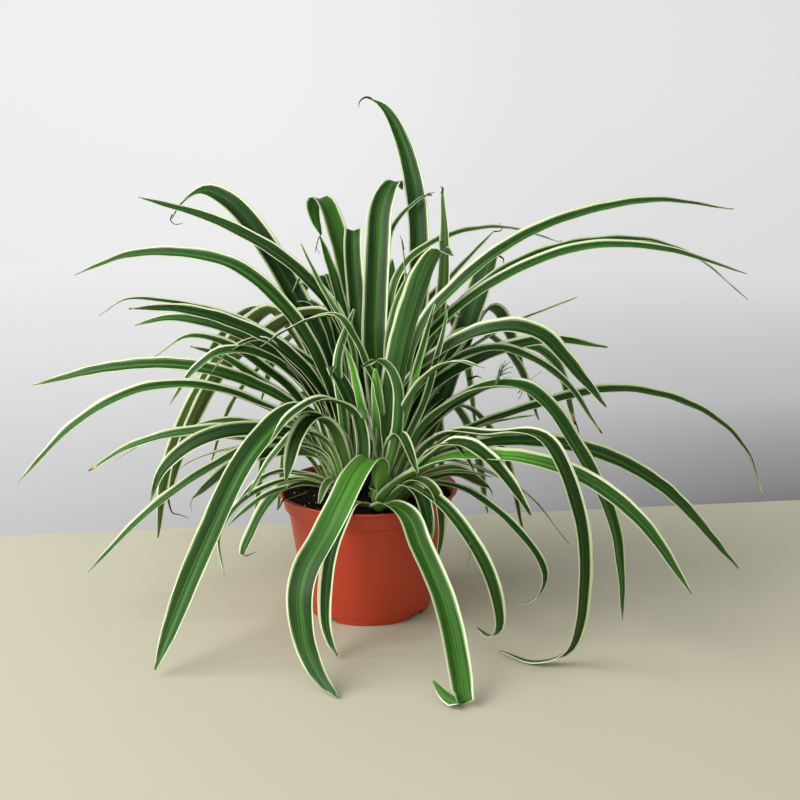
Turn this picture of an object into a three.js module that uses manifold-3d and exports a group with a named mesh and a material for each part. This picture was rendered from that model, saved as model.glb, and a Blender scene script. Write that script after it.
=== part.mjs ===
// A spider plant in its round plastic nursery pot: the hollow pot with its drain notches, the
// potting mix that fills it, and six rosettes of strap leaves that stand in holes in the mix.
// Millimetres, +Z up, origin at the centre of the pot's underside, -Y is the side it is seen from.
import * as THREE from 'three';
import { mergeVertices } from 'three/addons/utils/BufferGeometryUtils.js';
import Module from 'manifold-3d';

const wasm = await Module();
wasm.setup();

// ---- driving dimensions ----
const RIM_RADIUS = 77.5; // a six-inch nursery pot is about 155 mm across its rim
const POT_HEIGHT = 107;
const COLLAR_HEIGHT = 16; // the flared band below the rim
const COLLAR_RADIUS = 71.7; // outside, at the band's lower edge
const COLLAR_TOP_RADIUS = 73.2; // where the lip starts to turn out
const COLLAR_STEP = 2.5; // height of the step from the body out to the collar
const LIP_HEIGHT = 8.5; // the lip starts this far below the rim
const LIP_MIDDLE = [75.1, 3.5]; // radius halfway along its curve, and distance below the rim
const RIM_EDGE = 1.2; // thickness of the rim's outer edge
const RIM_TOP = [0.6, 2.4]; // the rim's flat top lies between these distances inside its radius
const RIM_ROLL = 0.2; // drop of the flat top's inner edge
const BODY_TOP_RADIUS = 68.2;
const BODY_BOTTOM_RADIUS = 55.5;
const FOOT_RADIUS = 54;
const FOOT_HEIGHT = 4.5;
const FOOT_STEP = 0.6; // height of the step from the foot out to the body
const WALL = 1.6;
const FLOOR = 2.4;
const FLOOR_CORNER = 1.5; // radius inside, where the floor meets the wall
const POT_SIDES = 40;
const NOTCH_COUNT = 4;
const NOTCH_WIDTH = 18; // along the foot ring
const NOTCH_DEPTH = 9; // in from the foot's outside
const NOTCH_HEIGHT = 3.8;
const NOTCH_FIRST_ANGLE = -128; // degrees from +X
const GAP = 0.3; // clearance between pieces that touch

const SOIL_DEPTH_BELOW_RIM = 12.5;
const SOIL_CLEARANCE = 0.5; // between the mix and the many-sided wall round it
const SOIL_CORNER = 3; // the mix's lower edge is cut back by this
const SOIL_RELIEF = 1.8; // height of the crumbs on the mix
const SOIL_RINGS = 5;

const RING_OF_CROWNS = 26; // the rosettes' centres stand on this radius
const CROWN_RADIUS = 11.5; // the bundle of leaf sheaths that makes a rosette's foot
const CROWN_SINK = 11; // depth of a crown below the surface of the mix
const CROWN_RISE = 38; // height of a crown above it
const CROWN_SIDES = 12;
const CROWN_PROFILE = [ // the part in the mix, then above it: shares of the radius and of the height
  [[0, -1], [0.8, -1], [1, -0.5]],
  [[1, 0.08], [0.88, 0.4], [0.65, 0.8], [0, 1]],
];
const HOLE_SIDES = 20;

const RIB_THICKNESS = 1.4; // a blade is thickest along its rib and thins towards its edges
const TIP_THICKNESS = 0.9;
const TIP_WIDTH = 1.6;
const BASE_WIDTH = 6; // the folded foot of a leaf
const WIDEST_AT = 0.45; // share of the length at which a leaf is widest
const SLENDER = 10; // the width of a leaf that tapers all the way
const TAPER = 1.7; // power of its taper
const TAPER_PER_WIDTH = 0.16; // broader leaves end more bluntly, by this power for each millimetre
const FOLD_AT_BASE = 62; // degrees that each half of a blade turns up from flat
const FOLD_AT_MIDDLE = 24;
const FOLD_AT_TIP = 12;
const OPEN_AT = 0.3; // share of the length at which the fold has opened
const FLATTENS_FROM = 0.5; // share of the length from which it flattens on towards the tip
const LEANS_BY = 0.5; // share of the length at which a leaf's lean is reached
const FLAT_RISE = 45; // degrees: a leaf that starts off less steeply than this comes from outside
const RING_SPACING = 62; // along a straight stretch of leaf
const RING_TURN = 46; // degrees of bend from one ring to the next
const FEWEST_RINGS = 4;
const FINE_STEPS = 80; // steps that measure a leaf's curve

const SOIL_TOP = POT_HEIGHT - SOIL_DEPTH_BELOW_RIM;
const HIGHEST_ROOT = 24; // the steepest leaves leave the crown this far above the mix
const FURTHEST_ROOT = 7; // the flattest leaves leave it this far from its axis
const radians = THREE.MathUtils.degToRad;

// ---- colours ----
const POT_MATERIAL = { color: 0xb84b2e, roughness: 0.45, metalness: 0 };
const SOIL_MATERIAL = { color: 0x2a1d15, roughness: 0.95, metalness: 0 };
const LEAF_COLOURS = [0x2f6b2c, 0x35742f, 0x2b6329, 0x3a7a33, 0x326d2d, 0x2d6730];

// ---- the leaves ----
// One row a leaf: the heading it leaves its crown on, in degrees from +X, its greatest width, the
// degrees by which its face leans to the front, and points of its midrib as [out, up] or
// [out, up, left], out and left from the crown's axis and up from the table. A row follows a leaf
// of the real plant; the far side is grown by growBackLeaves.
function leaf(heading, width, lean, ...path) {
  return { heading, width, lean, path };
}

const ROSETTES = {
  rosette_left: {
    direction: 172,
    leaves: [
      leaf(165, 16, 25, [5, 180], [35, 245], [85, 290], [130, 301], [185, 299], [240, 280]),
      leaf(180, 14, 20, [10, 180], [45, 225], [90, 249], [130, 260], [173, 261]),
      leaf(172, 12, 10, [30, 200], [70, 230], [110, 245], [145, 249], [175, 242]),
      leaf(164, 9, 0, [35, 180], [68, 207], [100, 225], [135, 230], [168, 210]),
      leaf(168, 9, 0, [35, 170], [70, 196], [100, 215], [130, 223]),
      leaf(178, 13, 15, [30, 168], [80, 198], [135, 211], [195, 208], [260, 193]),
      leaf(195, 15, 15, [15, 148], [65, 181], [115, 200], [165, 200], [215, 177], [265, 130]),
      leaf(188, 15, 15, [20, 180], [60, 220], [95, 226], [120, 210], [140, 183]),
      leaf(184, 10, 10, [18, 185], [40, 215], [62, 235], [88, 227], [105, 208]),
      leaf(190, 13, 15, [15, 135], [60, 146], [105, 128], [160, 92], [215, 40]),
      leaf(182, 12, 10, [15, 130], [55, 136], [90, 124], [125, 96]),
      leaf(175, 10, 10, [15, 130], [75, 152], [135, 150], [185, 135], [220, 113]),
      leaf(170, 7, 0, [15, 128], [85, 143], [165, 139], [205, 117]),
      leaf(164, 12, 15, [15, 135], [65, 152], [110, 155], [142, 145]),
      leaf(186, 14, 20, [15, 140], [70, 157], [115, 150], [148, 125], [160, 98]),
      leaf(159, 7, 0, [35, 133], [95, 130], [140, 115], [158, 103]),
      leaf(176, 8, 0, [30, 148], [85, 138], [122, 115]),
    ],
  },
  rosette_front_left: {
    direction: 230,
    leaves: [
      leaf(222, 23, 20, [8, 155], [50, 186], [95, 162], [145, 92], [194, 6]),
      leaf(235, 18, 0, [5, 135], [22, 168], [45, 181], [65, 169], [80, 138]),
      leaf(215, 9, 0, [18, 152], [45, 168], [72, 150], [95, 122]),
      leaf(212, 9, 0, [12, 115], [45, 131], [75, 134], [102, 117]),
      leaf(208, 9, 0, [10, 108], [45, 125], [90, 116], [114, 90], [112, 52]),
      leaf(204, 9, 0, [10, 106], [35, 118], [75, 112], [105, 93]),
      leaf(196, 14, 0, [12, 112], [45, 122], [66, 106], [82, 80], [90, 60], [78, 62]),
      leaf(280, 12, 0, [20, 133], [30, 170, -4], [42, 191, -2], [57, 184, 8]),
      leaf(262, 8, 0, [3, 170, -2], [6, 223, -6], [5, 266, 8]),
      leaf(246, 13, 0, [10, 112], [27, 128], [50, 124], [66, 108]),
    ],
  },
  rosette_front_right: {
    direction: 297,
    leaves: [
      leaf(250, 23, 0,
        [22, 134, 9], [36, 149, 8], [72, 139, -2], [108, 101, -14], [136, 70, -15], [153, 40, -4],
        [161, 4, 26]),
      leaf(245, 15, 0, [30, 118], [60, 113], [84, 80, -8], [94, 45, -6], [99, 20, 1], [101, 4, 10]),
      leaf(290, 24, 0,
        [25, 112, -4], [54, 115, -9], [75, 103, -6], [102, 80, 1], [126, 62, 4], [158, 32, 3],
        [177, 6, 1], [169, 4, -9]),
      leaf(300, 24, 0,
        [8, 130, 6], [20, 205, 4], [38, 250, 3], [58, 289, 3], [82, 318, 1], [105, 320, -1]),
      leaf(275, 13, 0, [12, 125, 8], [23, 178, 16], [33, 213, 13], [39, 230], [42, 228, -18]),
      leaf(238, 15, 0, [20, 155], [31, 196], [54, 229], [70, 222]),
      leaf(219, 13, 0, [15, 153], [32, 185], [60, 198], [90, 190], [111, 171]),
      leaf(190, 10, 0, [16, 164], [23, 211], [31, 238]),
      leaf(250, 12, 0, [10, 158], [15, 201], [20, 233]),
      leaf(335, 18, 20, [12, 118], [45, 140], [115, 155], [185, 144], [235, 112], [270, 60]),
      leaf(320, 16, 10, [25, 138], [80, 166], [130, 148], [155, 118]),
      leaf(326, 9, 0, [22, 130], [65, 154], [90, 138]),
      leaf(302, 9, 0, [8, 140], [30, 166], [58, 140]),
      leaf(310, 14, 0, [28, 120], [75, 117], [125, 82], [142, 45], [124, 25]),
      leaf(297, 14, 0, [28, 122], [60, 129], [82, 112], [78, 84]),
      leaf(323, 12, 0, [28, 116], [54, 115], [63, 94, -2], [66, 75, -4], [64, 52, -6]),
      leaf(312, 12, 0, [8, 130], [26, 178], [52, 214]),
    ],
  },
  rosette_right: {
    direction: 355,
    leaves: [
      leaf(15, 15, 5, [20, 240], [55, 280], [90, 306], [140, 329], [225, 345], [305, 336]),
      leaf(4, 16, 10, [18, 222], [40, 250], [90, 286], [155, 310], [220, 309], [295, 288]),
      leaf(340, 18, 10, [8, 195], [40, 238], [90, 256], [140, 236], [180, 193]),
      leaf(349, 14, 10, [8, 178], [40, 217], [85, 236], [135, 214], [172, 163]),
      leaf(0, 13, 10, [20, 183], [70, 219], [125, 235], [176, 229]),
      leaf(335, 20, 10, [24, 178], [69, 213], [110, 217], [151, 178], [186, 110], [196, 25]),
      leaf(8, 10, 15, [35, 143], [110, 175], [195, 190], [270, 167], [312, 128], [330, 80]),
      leaf(14, 6, 0, [35, 140], [80, 157], [125, 163]),
      leaf(0, 12, 20, [18, 125], [85, 146], [160, 140], [225, 108], [298, 32]),
      leaf(315, 19, 5, [28, 142], [60, 166], [100, 172], [158, 180], [190, 135], [200, 85],
        [186, 14, 3], [165, 3, -12], [132, 2, -15]),
      leaf(325, 10, 0, [22, 111], [52, 117], [85, 110], [130, 81], [145, 58], [138, 38], [120, 25]),
      leaf(5, 11, 20, [15, 106], [47, 117], [80, 96]),
      leaf(10, 6, 0, [30, 128], [110, 98], [155, 45]),
      leaf(20, 6, 0, [35, 138], [75, 148], [112, 144]),
      leaf(352, 7, 0, [18, 112], [50, 122], [82, 119]),
      leaf(325, 8, 0, [10, 150, -5], [22, 205, -7], [35, 268, 2]),
    ],
  },
  rosette_back_right: {
    direction: 50,
    leaves: [
      leaf(95, 17, 0,
        [7, 194, -8], [18, 262, -23], [32, 312, -30], [53, 362, -25], [74, 410, -8], [97, 430, 15]),
      leaf(85, 20, 0,
        [2, 160, 6], [9, 220, 11], [21, 279, 12], [37, 333, 11], [55, 353, 5], [75, 352, -4]),
      leaf(30, 9, 0, [24, 177, -9], [44, 254, -9], [57, 330], [57, 360, 7]),
      leaf(65, 7, 0, [10, 190, 4], [17, 262, 10], [37, 319, 12], [58, 340, 4], [75, 348, -8]),
      leaf(20, 12, 15, [35, 215], [85, 270], [150, 300], [240, 306], [300, 288], [360, 245]),
      leaf(35, 8, 0, [2, 240], [14, 288], [50, 311], [120, 319], [200, 299]),
      leaf(42, 8, 0, [32, 242], [80, 280], [130, 314]),
      leaf(50, 22, 0, [40, 120], [88, 165], [118, 220], [135, 265], [152, 292]),
      leaf(45, 12, 0, [50, 170], [105, 215], [135, 243], [158, 226], [185, 168]),
      leaf(27, 9, 0, [40, 170], [80, 203], [130, 215], [172, 195], [195, 130]),
      leaf(12, 8, 0, [45, 195], [100, 235], [170, 262]),
      leaf(10, 15, 0, [40, 152], [80, 180], [125, 194], [168, 178]),
      leaf(58, 10, 0, [30, 190], [64, 186], [88, 135], [95, 75]),
      leaf(340, 8, 0, [5, 183, -12], [8, 247, -12], [20, 300, 2]),
    ],
  },
  rosette_back_left: {
    direction: 115,
    leaves: [
      leaf(160, 11, 0, [10, 235], [50, 285], [125, 325], [205, 345]),
      leaf(150, 16, 0, [30, 210], [60, 260], [100, 315], [155, 350], [195, 325]),
      leaf(165, 10, 10, [25, 193], [70, 225], [115, 245], [180, 256], [215, 255], [240, 240]),
      leaf(148, 14, 0, [45, 200], [65, 230], [87, 247], [125, 222], [180, 155], [222, 75], [236, 6]),
      leaf(155, 14, 0, [0, 190], [22, 248], [55, 246], [92, 225], [135, 190], [180, 115], [200, 60]),
      leaf(143, 8, 0, [35, 190], [62, 214], [105, 195], [150, 148], [180, 85]),
      leaf(125, 19, 0, [4, 230], [12, 275], [24, 312], [42, 342], [62, 320]),
      leaf(140, 9, 0, [12, 220], [35, 270], [60, 305]),
      leaf(95, 16, 0, [2, 178, -2], [14, 237, 1], [38, 320], [58, 330]),
      leaf(168, 10, 0, [25, 130], [60, 143], [90, 116]),
      leaf(132, 7, 0, [8, 210], [22, 268], [45, 315]),
    ],
  },
};

// ---- solids ----
function toManifold(geometry) {
  const bare = geometry.index ? geometry.clone() : geometry;
  bare.deleteAttribute('normal');
  bare.deleteAttribute('uv');
  const merged = mergeVertices(bare, 1e-4);
  const mesh = new wasm.Mesh({
    numProp: 3,
    vertProperties: new Float32Array(merged.attributes.position.array),
    triVerts: new Uint32Array(merged.index.array),
  });
  return new wasm.Manifold(mesh);
}

function toGeometry(solid) {
  const mesh = solid.getMesh();
  const geometry = new THREE.BufferGeometry();
  geometry.setAttribute('position', new THREE.BufferAttribute(mesh.vertProperties, 3));
  geometry.setIndex(new THREE.BufferAttribute(mesh.triVerts, 1));
  return geometry;
}

function lathe(profile, sides) {
  const points = profile.map(([radius, height]) => new THREE.Vector2(radius, height));
  const geometry = new THREE.LatheGeometry(points, sides);
  geometry.rotateX(Math.PI / 2);
  return toManifold(geometry);
}

function namedMesh(name, geometry, finish) {
  const mesh = new THREE.Mesh(geometry, new THREE.MeshStandardMaterial(finish));
  mesh.name = name;
  return mesh;
}

// Fusing can seal a small hollow between crossing blades; only the outer skin is kept.
function outerBody(solid) {
  const pieces = solid.decompose();
  return pieces.reduce((best, piece) => (piece.volume() > best.volume() ? piece : best));
}

// ---- the pot ----
const collarBottom = POT_HEIGHT - COLLAR_HEIGHT;
const bodyTop = collarBottom - COLLAR_STEP;
const bodyBottom = FOOT_HEIGHT + FOOT_STEP;
const outerProfile = [
  [FOOT_RADIUS, 0],
  [FOOT_RADIUS, FOOT_HEIGHT],
  [BODY_BOTTOM_RADIUS, bodyBottom],
  [BODY_TOP_RADIUS, bodyTop],
  [COLLAR_RADIUS, collarBottom],
  [COLLAR_TOP_RADIUS, POT_HEIGHT - LIP_HEIGHT],
  [LIP_MIDDLE[0], POT_HEIGHT - LIP_MIDDLE[1]],
  [RIM_RADIUS, POT_HEIGHT - RIM_EDGE],
];
const innerBodyTop = [BODY_TOP_RADIUS - WALL, bodyTop];
const innerBodyBottom = [BODY_BOTTOM_RADIUS - WALL, bodyBottom];
const innerProfile = [
  [RIM_RADIUS - RIM_TOP[0], POT_HEIGHT],
  [RIM_RADIUS - RIM_TOP[1], POT_HEIGHT - RIM_ROLL],
  [COLLAR_TOP_RADIUS - WALL, POT_HEIGHT - LIP_HEIGHT + WALL / 2],
  [COLLAR_RADIUS - WALL, collarBottom + WALL],
  innerBodyTop,
  innerBodyBottom,
  [innerBodyBottom[0] - FLOOR_CORNER, FLOOR],
];

function innerRadiusAt(height) {
  const share = (height - innerBodyBottom[1]) / (innerBodyTop[1] - innerBodyBottom[1]);
  return innerBodyBottom[0] + share * (innerBodyTop[0] - innerBodyBottom[0]);
}

function drainNotch(angle) {
  const box = new THREE.BoxGeometry(NOTCH_DEPTH * 2, NOTCH_WIDTH, NOTCH_HEIGHT * 2);
  box.translate(FOOT_RADIUS, 0, 0);
  box.rotateZ(radians(angle));
  return toManifold(box);
}

function makePot() {
  const wall = lathe([[0, 0], ...outerProfile, ...innerProfile, [0, FLOOR]], POT_SIDES);
  const notches = [];
  for (let i = 0; i < NOTCH_COUNT; i++) {
    notches.push(drainNotch(NOTCH_FIRST_ANGLE + (i * 360) / NOTCH_COUNT));
  }
  return wall.subtract(wasm.Manifold.union(notches));
}

// ---- the potting mix ----
// Height of the mix above its mean level: broad mounds with smaller crumbs across them.
function relief(x, y) {
  const mounds = Math.sin(x * 0.11 + 1.3) * Math.cos(y * 0.13 - 0.4);
  const crumbs = Math.sin(x * 0.37 + y * 0.21) * Math.sin(y * 0.41 - x * 0.17 + 2.1);
  return SOIL_RELIEF * (0.6 * mounds + 0.4 * crumbs);
}

function crownCentre(direction) {
  const angle = radians(direction);
  return [RING_OF_CROWNS * Math.cos(angle), RING_OF_CROWNS * Math.sin(angle)];
}

function crownHole({ direction }) {
  const [x, y] = crownCentre(direction);
  const radius = CROWN_RADIUS + GAP;
  const length = CROWN_RISE + CROWN_SINK; // reaches clear above the mix
  const hole = new THREE.CylinderGeometry(radius, radius, length, HOLE_SIDES);
  hole.rotateX(Math.PI / 2);
  hole.translate(x, y, SOIL_TOP - CROWN_SINK - GAP + length / 2);
  return toManifold(hole);
}

function makeSoil() {
  const topRadius = innerRadiusAt(bodyTop) - SOIL_CLEARANCE;
  const bottom = FLOOR + GAP;
  const shoulder = bottom + SOIL_CORNER;
  const rings = [
    [0, bottom],
    [innerRadiusAt(bottom) - SOIL_CORNER - SOIL_CLEARANCE, bottom],
    [innerRadiusAt(shoulder) - SOIL_CLEARANCE, shoulder],
    [topRadius, bodyTop],
  ];
  for (let i = 0; i <= SOIL_RINGS; i++) {
    rings.push([topRadius * (1 - i / SOIL_RINGS), SOIL_TOP]);
  }
  const points = rings.map(([radius, height]) => new THREE.Vector2(radius, height));
  const geometry = new THREE.LatheGeometry(points, POT_SIDES);
  geometry.rotateX(Math.PI / 2);
  const position = geometry.attributes.position;
  for (let i = 0; i < position.count; i++) {
    const [x, y, z] = [position.getX(i), position.getY(i), position.getZ(i)];
    if (z > bodyTop + GAP) position.setZ(i, z + relief(x, y));
  }
  const holes = Object.values(ROSETTES).map(crownHole);
  return toManifold(geometry).subtract(wasm.Manifold.union(holes));
}

// ---- leaves behind ----
// The plant's far side is grown by rule, in three tiers: low leaves that hang over the rim, leaves
// that arch out at half height and steep inner ones.
const BACK_TIERS = [
  { reach: 185, apex: 158, end: 30, width: 13 },
  { reach: 190, apex: 235, end: 120, width: 15 },
  { reach: 115, apex: 305, end: 275, width: 15 },
];
const BACK_LEAVES = {
  rosette_back_right: { from: 30, to: 92, count: 9, seed: 71 },
  rosette_back_left: { from: 98, to: 148, count: 9, seed: 29 },
};
const CLIMB = 0.66; // share of a back leaf's rise that it has made at a fifth of its reach
const DROOP = 0.33; // share of its fall that it has made at four fifths of it

// The minimal standard generator: the same seed always gives the same plant.
function seededRandom(seed) {
  let state = seed;
  return () => {
    state = (state * 48271) % 2147483647;
    return state / 2147483647;
  };
}

function growBackLeaves({ from, to, count, seed }) {
  const random = seededRandom(seed);
  const between = (low, high) => low + (high - low) * random();
  const rows = [];
  for (let i = 0; i < count; i++) {
    const tier = BACK_TIERS[i % BACK_TIERS.length];
    const heading = from + ((to - from) * (i + between(0.2, 0.8))) / count;
    const reach = tier.reach * between(0.8, 1.15);
    const apex = tier.apex * between(0.92, 1.08);
    const end = tier.end * between(0.8, 1.2);
    const width = tier.width * between(0.8, 1.2);
    const climb = SOIL_TOP + (apex - SOIL_TOP) * CLIMB;
    const shoulder = apex - (apex - end) * DROOP;
    rows.push(leaf(heading, width, 0, [reach * 0.2, climb], [reach * 0.5, apex],
      [reach * 0.8, shoulder], [reach, end]));
  }
  return rows;
}

for (const [name, rule] of Object.entries(BACK_LEAVES)) {
  ROSETTES[name].leaves.push(...growBackLeaves(rule));
}

// ---- growing a leaf ----
function smoothStep(value) {
  const share = Math.min(Math.max(value, 0), 1);
  return share * share * (3 - 2 * share);
}

function widthAt(share, widest) {
  if (share < WIDEST_AT) {
    return BASE_WIDTH + (widest - BASE_WIDTH) * smoothStep(share / WIDEST_AT);
  }
  const beyond = (share - WIDEST_AT) / (1 - WIDEST_AT);
  const bluntness = TAPER + Math.max(widest - SLENDER, 0) * TAPER_PER_WIDTH;
  return TIP_WIDTH + (widest - TIP_WIDTH) * (1 - beyond ** bluntness);
}

function foldAt(share) {
  const opened = smoothStep(share / OPEN_AT);
  const flattened = smoothStep((share - FLATTENS_FROM) / (1 - FLATTENS_FROM));
  const middle = FOLD_AT_BASE + (FOLD_AT_MIDDLE - FOLD_AT_BASE) * opened;
  return radians(middle + (FOLD_AT_TIP - FOLD_AT_MIDDLE) * flattened);
}

// Steep leaves come from high in the middle of the crown, flat ones from low on its outside.
function rootOf({ path: [[out, up]] }) {
  const rise = THREE.MathUtils.radToDeg(Math.atan2(up - SOIL_TOP, Math.abs(out)));
  const steepness = THREE.MathUtils.clamp((rise - FLAT_RISE) / (90 - FLAT_RISE), 0, 1);
  return [(1 - steepness) * FURTHEST_ROOT, SOIL_TOP + steepness * HIGHEST_ROOT];
}

// The midrib as a curve from the crown through the row's points.
function midribOf(row, centre) {
  const angle = radians(row.heading);
  const [ahead, left] = [[Math.cos(angle), Math.sin(angle)], [-Math.sin(angle), Math.cos(angle)]];
  const points = [rootOf(row), ...row.path].map(([out, up, aside = 0]) => {
    const x = centre[0] + out * ahead[0] + aside * left[0];
    const y = centre[1] + out * ahead[1] + aside * left[1];
    return new THREE.Vector3(x, y, up);
  });
  return new THREE.CatmullRomCurve3(points, false, 'centripetal');
}

// Shares of the length for the rings: close together where the leaf bends.
function ringShares(curve) {
  const tangents = [];
  for (let i = 0; i <= FINE_STEPS; i++) tangents.push(curve.getTangentAt(i / FINE_STEPS));
  const step = curve.getLength() / FINE_STEPS;
  const cost = [0];
  for (let i = 1; i <= FINE_STEPS; i++) {
    const turn = THREE.MathUtils.radToDeg(tangents[i].angleTo(tangents[i - 1]));
    cost.push(cost[i - 1] + step / RING_SPACING + turn / RING_TURN);
  }
  const total = cost[FINE_STEPS];
  const count = Math.max(FEWEST_RINGS, Math.round(total));
  const shares = [];
  let i = 0;
  for (let ring = 0; ring <= count; ring++) {
    const wanted = (total * ring) / count;
    while (i < FINE_STEPS - 1 && cost[i + 1] < wanted) i++;
    const within = (wanted - cost[i]) / (cost[i + 1] - cost[i]);
    shares.push(Math.min((i + within) / FINE_STEPS, 1));
  }
  return shares;
}

// Four corners of a channelled blade: left edge, top of the rib, right edge, underside of the rib.
function channelSection(point, tangent, row, share) {
  const angle = radians(row.heading);
  const left = new THREE.Vector3(-Math.sin(angle), Math.cos(angle), 0);
  left.addScaledVector(tangent, -left.dot(tangent)).normalize();
  const up = new THREE.Vector3().crossVectors(tangent, left);
  const side = Math.cos(angle) >= 0 ? 1 : -1;
  const lean = radians(row.lean) * side * smoothStep(share / LEANS_BY);
  left.applyAxisAngle(tangent, lean);
  up.applyAxisAngle(tangent, lean);
  const fold = foldAt(share);
  const half = widthAt(share, row.width) / 2;
  const [reach, rise] = [half * Math.cos(fold), half * Math.sin(fold)];
  const thickness = RIB_THICKNESS + (TIP_THICKNESS - RIB_THICKNESS) * share;
  const corner = (along, above) =>
    point.clone().addScaledVector(left, along).addScaledVector(up, above);
  return [corner(reach, rise), corner(0, 0), corner(-reach, rise), corner(0, -thickness)];
}

// Triangles of one blade: both faces are split along like diagonals, so that they never cross.
function bladeIndex(rings) {
  const index = [];
  const [leftEdge, rib, rightEdge, underside] = [0, 1, 2, 3];
  for (let ring = 0; ring < rings - 1; ring++) {
    const near = ring * 4;
    const far = near + 4;
    index.push(near + leftEdge, near + rib, far + rib, near + leftEdge, far + rib, far + leftEdge);
    index.push(near + rib, near + rightEdge, far + rightEdge, near + rib, far + rightEdge, far + rib);
    index.push(near + underside, near + leftEdge, far + underside);
    index.push(near + leftEdge, far + leftEdge, far + underside);
    index.push(near + rightEdge, near + underside, far + rightEdge);
    index.push(near + underside, far + underside, far + rightEdge);
  }
  const last = (rings - 1) * 4;
  index.push(leftEdge, underside, rib, rib, underside, rightEdge);
  index.push(last + leftEdge, last + rib, last + underside);
  index.push(last + rib, last + rightEdge, last + underside);
  return index;
}

function makeBlade(row, centre) {
  const curve = midribOf(row, centre);
  const shares = ringShares(curve);
  const positions = shares.flatMap((share) => {
    const corners = channelSection(curve.getPointAt(share), curve.getTangentAt(share), row, share);
    return corners.flatMap((corner) => corner.toArray());
  });
  const geometry = new THREE.BufferGeometry();
  geometry.setAttribute('position', new THREE.Float32BufferAttribute(positions, 3));
  geometry.setIndex(bladeIndex(shares.length));
  return toManifold(geometry);
}

function makeCrown([x, y]) {
  const [buried, showing] = CROWN_PROFILE;
  const profile = [
    ...buried.map(([radius, depth]) => [radius * CROWN_RADIUS, depth * CROWN_SINK]),
    ...showing.map(([radius, height]) => [radius * CROWN_RADIUS, height * CROWN_RISE]),
  ];
  return lathe(profile, CROWN_SIDES).translate([x, y, SOIL_TOP]);
}

function makeRosette({ direction, leaves }) {
  const centre = crownCentre(direction);
  const blades = leaves.map((row) => makeBlade(row, centre));
  return outerBody(wasm.Manifold.union([makeCrown(centre), ...blades]));
}

// ---- the plant in its pot ----
const plant = new THREE.Group();
plant.add(namedMesh('pot', toGeometry(makePot()), POT_MATERIAL));
plant.add(namedMesh('soil', toGeometry(makeSoil()), SOIL_MATERIAL));
Object.entries(ROSETTES).forEach(([name, rosette], i) => {
  const finish = { color: LEAF_COLOURS[i], roughness: 0.5, metalness: 0 };
  plant.add(namedMesh(name, toGeometry(makeRosette(rosette)), finish));
});

export default plant;
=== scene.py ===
"""A spider plant in its nursery pot, dressed over its packed model: fine leaf blades with their
cream margins, the moulded pot, the potting mix with its crumbs, and a plain studio.

The row frame is used throughout: the pot's underside is centred on the origin, +Z is up and the
plant is seen from -Y. Sizes are in millimetres until mm() turns them to Blender's metres.
"""
import math
from functools import partial

import bmesh
import bpy
from bpy.props import FloatProperty, FloatVectorProperty, IntProperty, PointerProperty
from mathutils import Matrix, Vector, noise


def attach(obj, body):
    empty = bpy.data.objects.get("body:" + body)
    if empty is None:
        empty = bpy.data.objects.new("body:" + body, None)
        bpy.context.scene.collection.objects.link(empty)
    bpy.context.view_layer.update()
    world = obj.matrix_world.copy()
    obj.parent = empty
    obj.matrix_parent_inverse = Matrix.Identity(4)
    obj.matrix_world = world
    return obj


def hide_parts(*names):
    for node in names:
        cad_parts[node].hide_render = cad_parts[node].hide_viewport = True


bl_info = {
    "name": "Potted spider plant",
    "version": (1, 0, 0),
    "blender": (4, 5, 0),
    "location": "3D View > Sidebar > Plant",
    "description": "Leaves, pot, potting mix and studio of a potted spider plant",
    "category": "Add Mesh",
}

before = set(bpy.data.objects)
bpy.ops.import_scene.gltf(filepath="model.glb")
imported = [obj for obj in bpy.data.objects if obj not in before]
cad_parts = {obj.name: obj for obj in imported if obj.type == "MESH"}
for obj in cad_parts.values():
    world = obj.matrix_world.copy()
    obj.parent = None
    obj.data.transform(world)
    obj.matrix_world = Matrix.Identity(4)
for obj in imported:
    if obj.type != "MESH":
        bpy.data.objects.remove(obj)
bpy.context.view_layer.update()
MM = 0.001

# ---- the pot, as in the part's source ----
RIM_RADIUS = 77.5
POT_HEIGHT = 107
COLLAR_HEIGHT = 16  # the flared band below the rim
COLLAR_RADIUS = 71.7  # outside, at the band's lower edge
COLLAR_TOP_RADIUS = 73.2  # where the lip starts to turn out
COLLAR_STEP = 2.5  # height of the step from the body out to the collar
LIP_HEIGHT = 8.5  # the lip starts this far below the rim
BODY_TOP_RADIUS = 68.2
BODY_BOTTOM_RADIUS = 55.5
FOOT_RADIUS = 54
FOOT_HEIGHT = 4.5
FOOT_STEP = 0.6
WALL = 1.6
FLOOR = 2.4
NOTCH_COUNT = 4
NOTCH_WIDTH = 18  # along the foot ring
NOTCH_DEPTH = 9  # in from the foot's outside
NOTCH_HEIGHT = 3.8
NOTCH_FIRST_ANGLE = -128  # degrees from +X
SOIL_TOP = 94.5
RING_OF_CROWNS = 26  # the rosettes' centres stand on this radius

# ---- the potting mix ----
MIX_RADIUS = 69.5
MIX_CELLS = 120  # cells across the grid that becomes the mix's surface
MIX_BANK = 6.5  # the mix is pressed up against the wall by this much
BANK_FROM = 0.72  # share of the radius where the bank starts
MIX_DEPTH = 8  # the mix is only seen from above
MIX_FOOT_RADIUS = 65  # below the collar the pot is narrower

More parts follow.
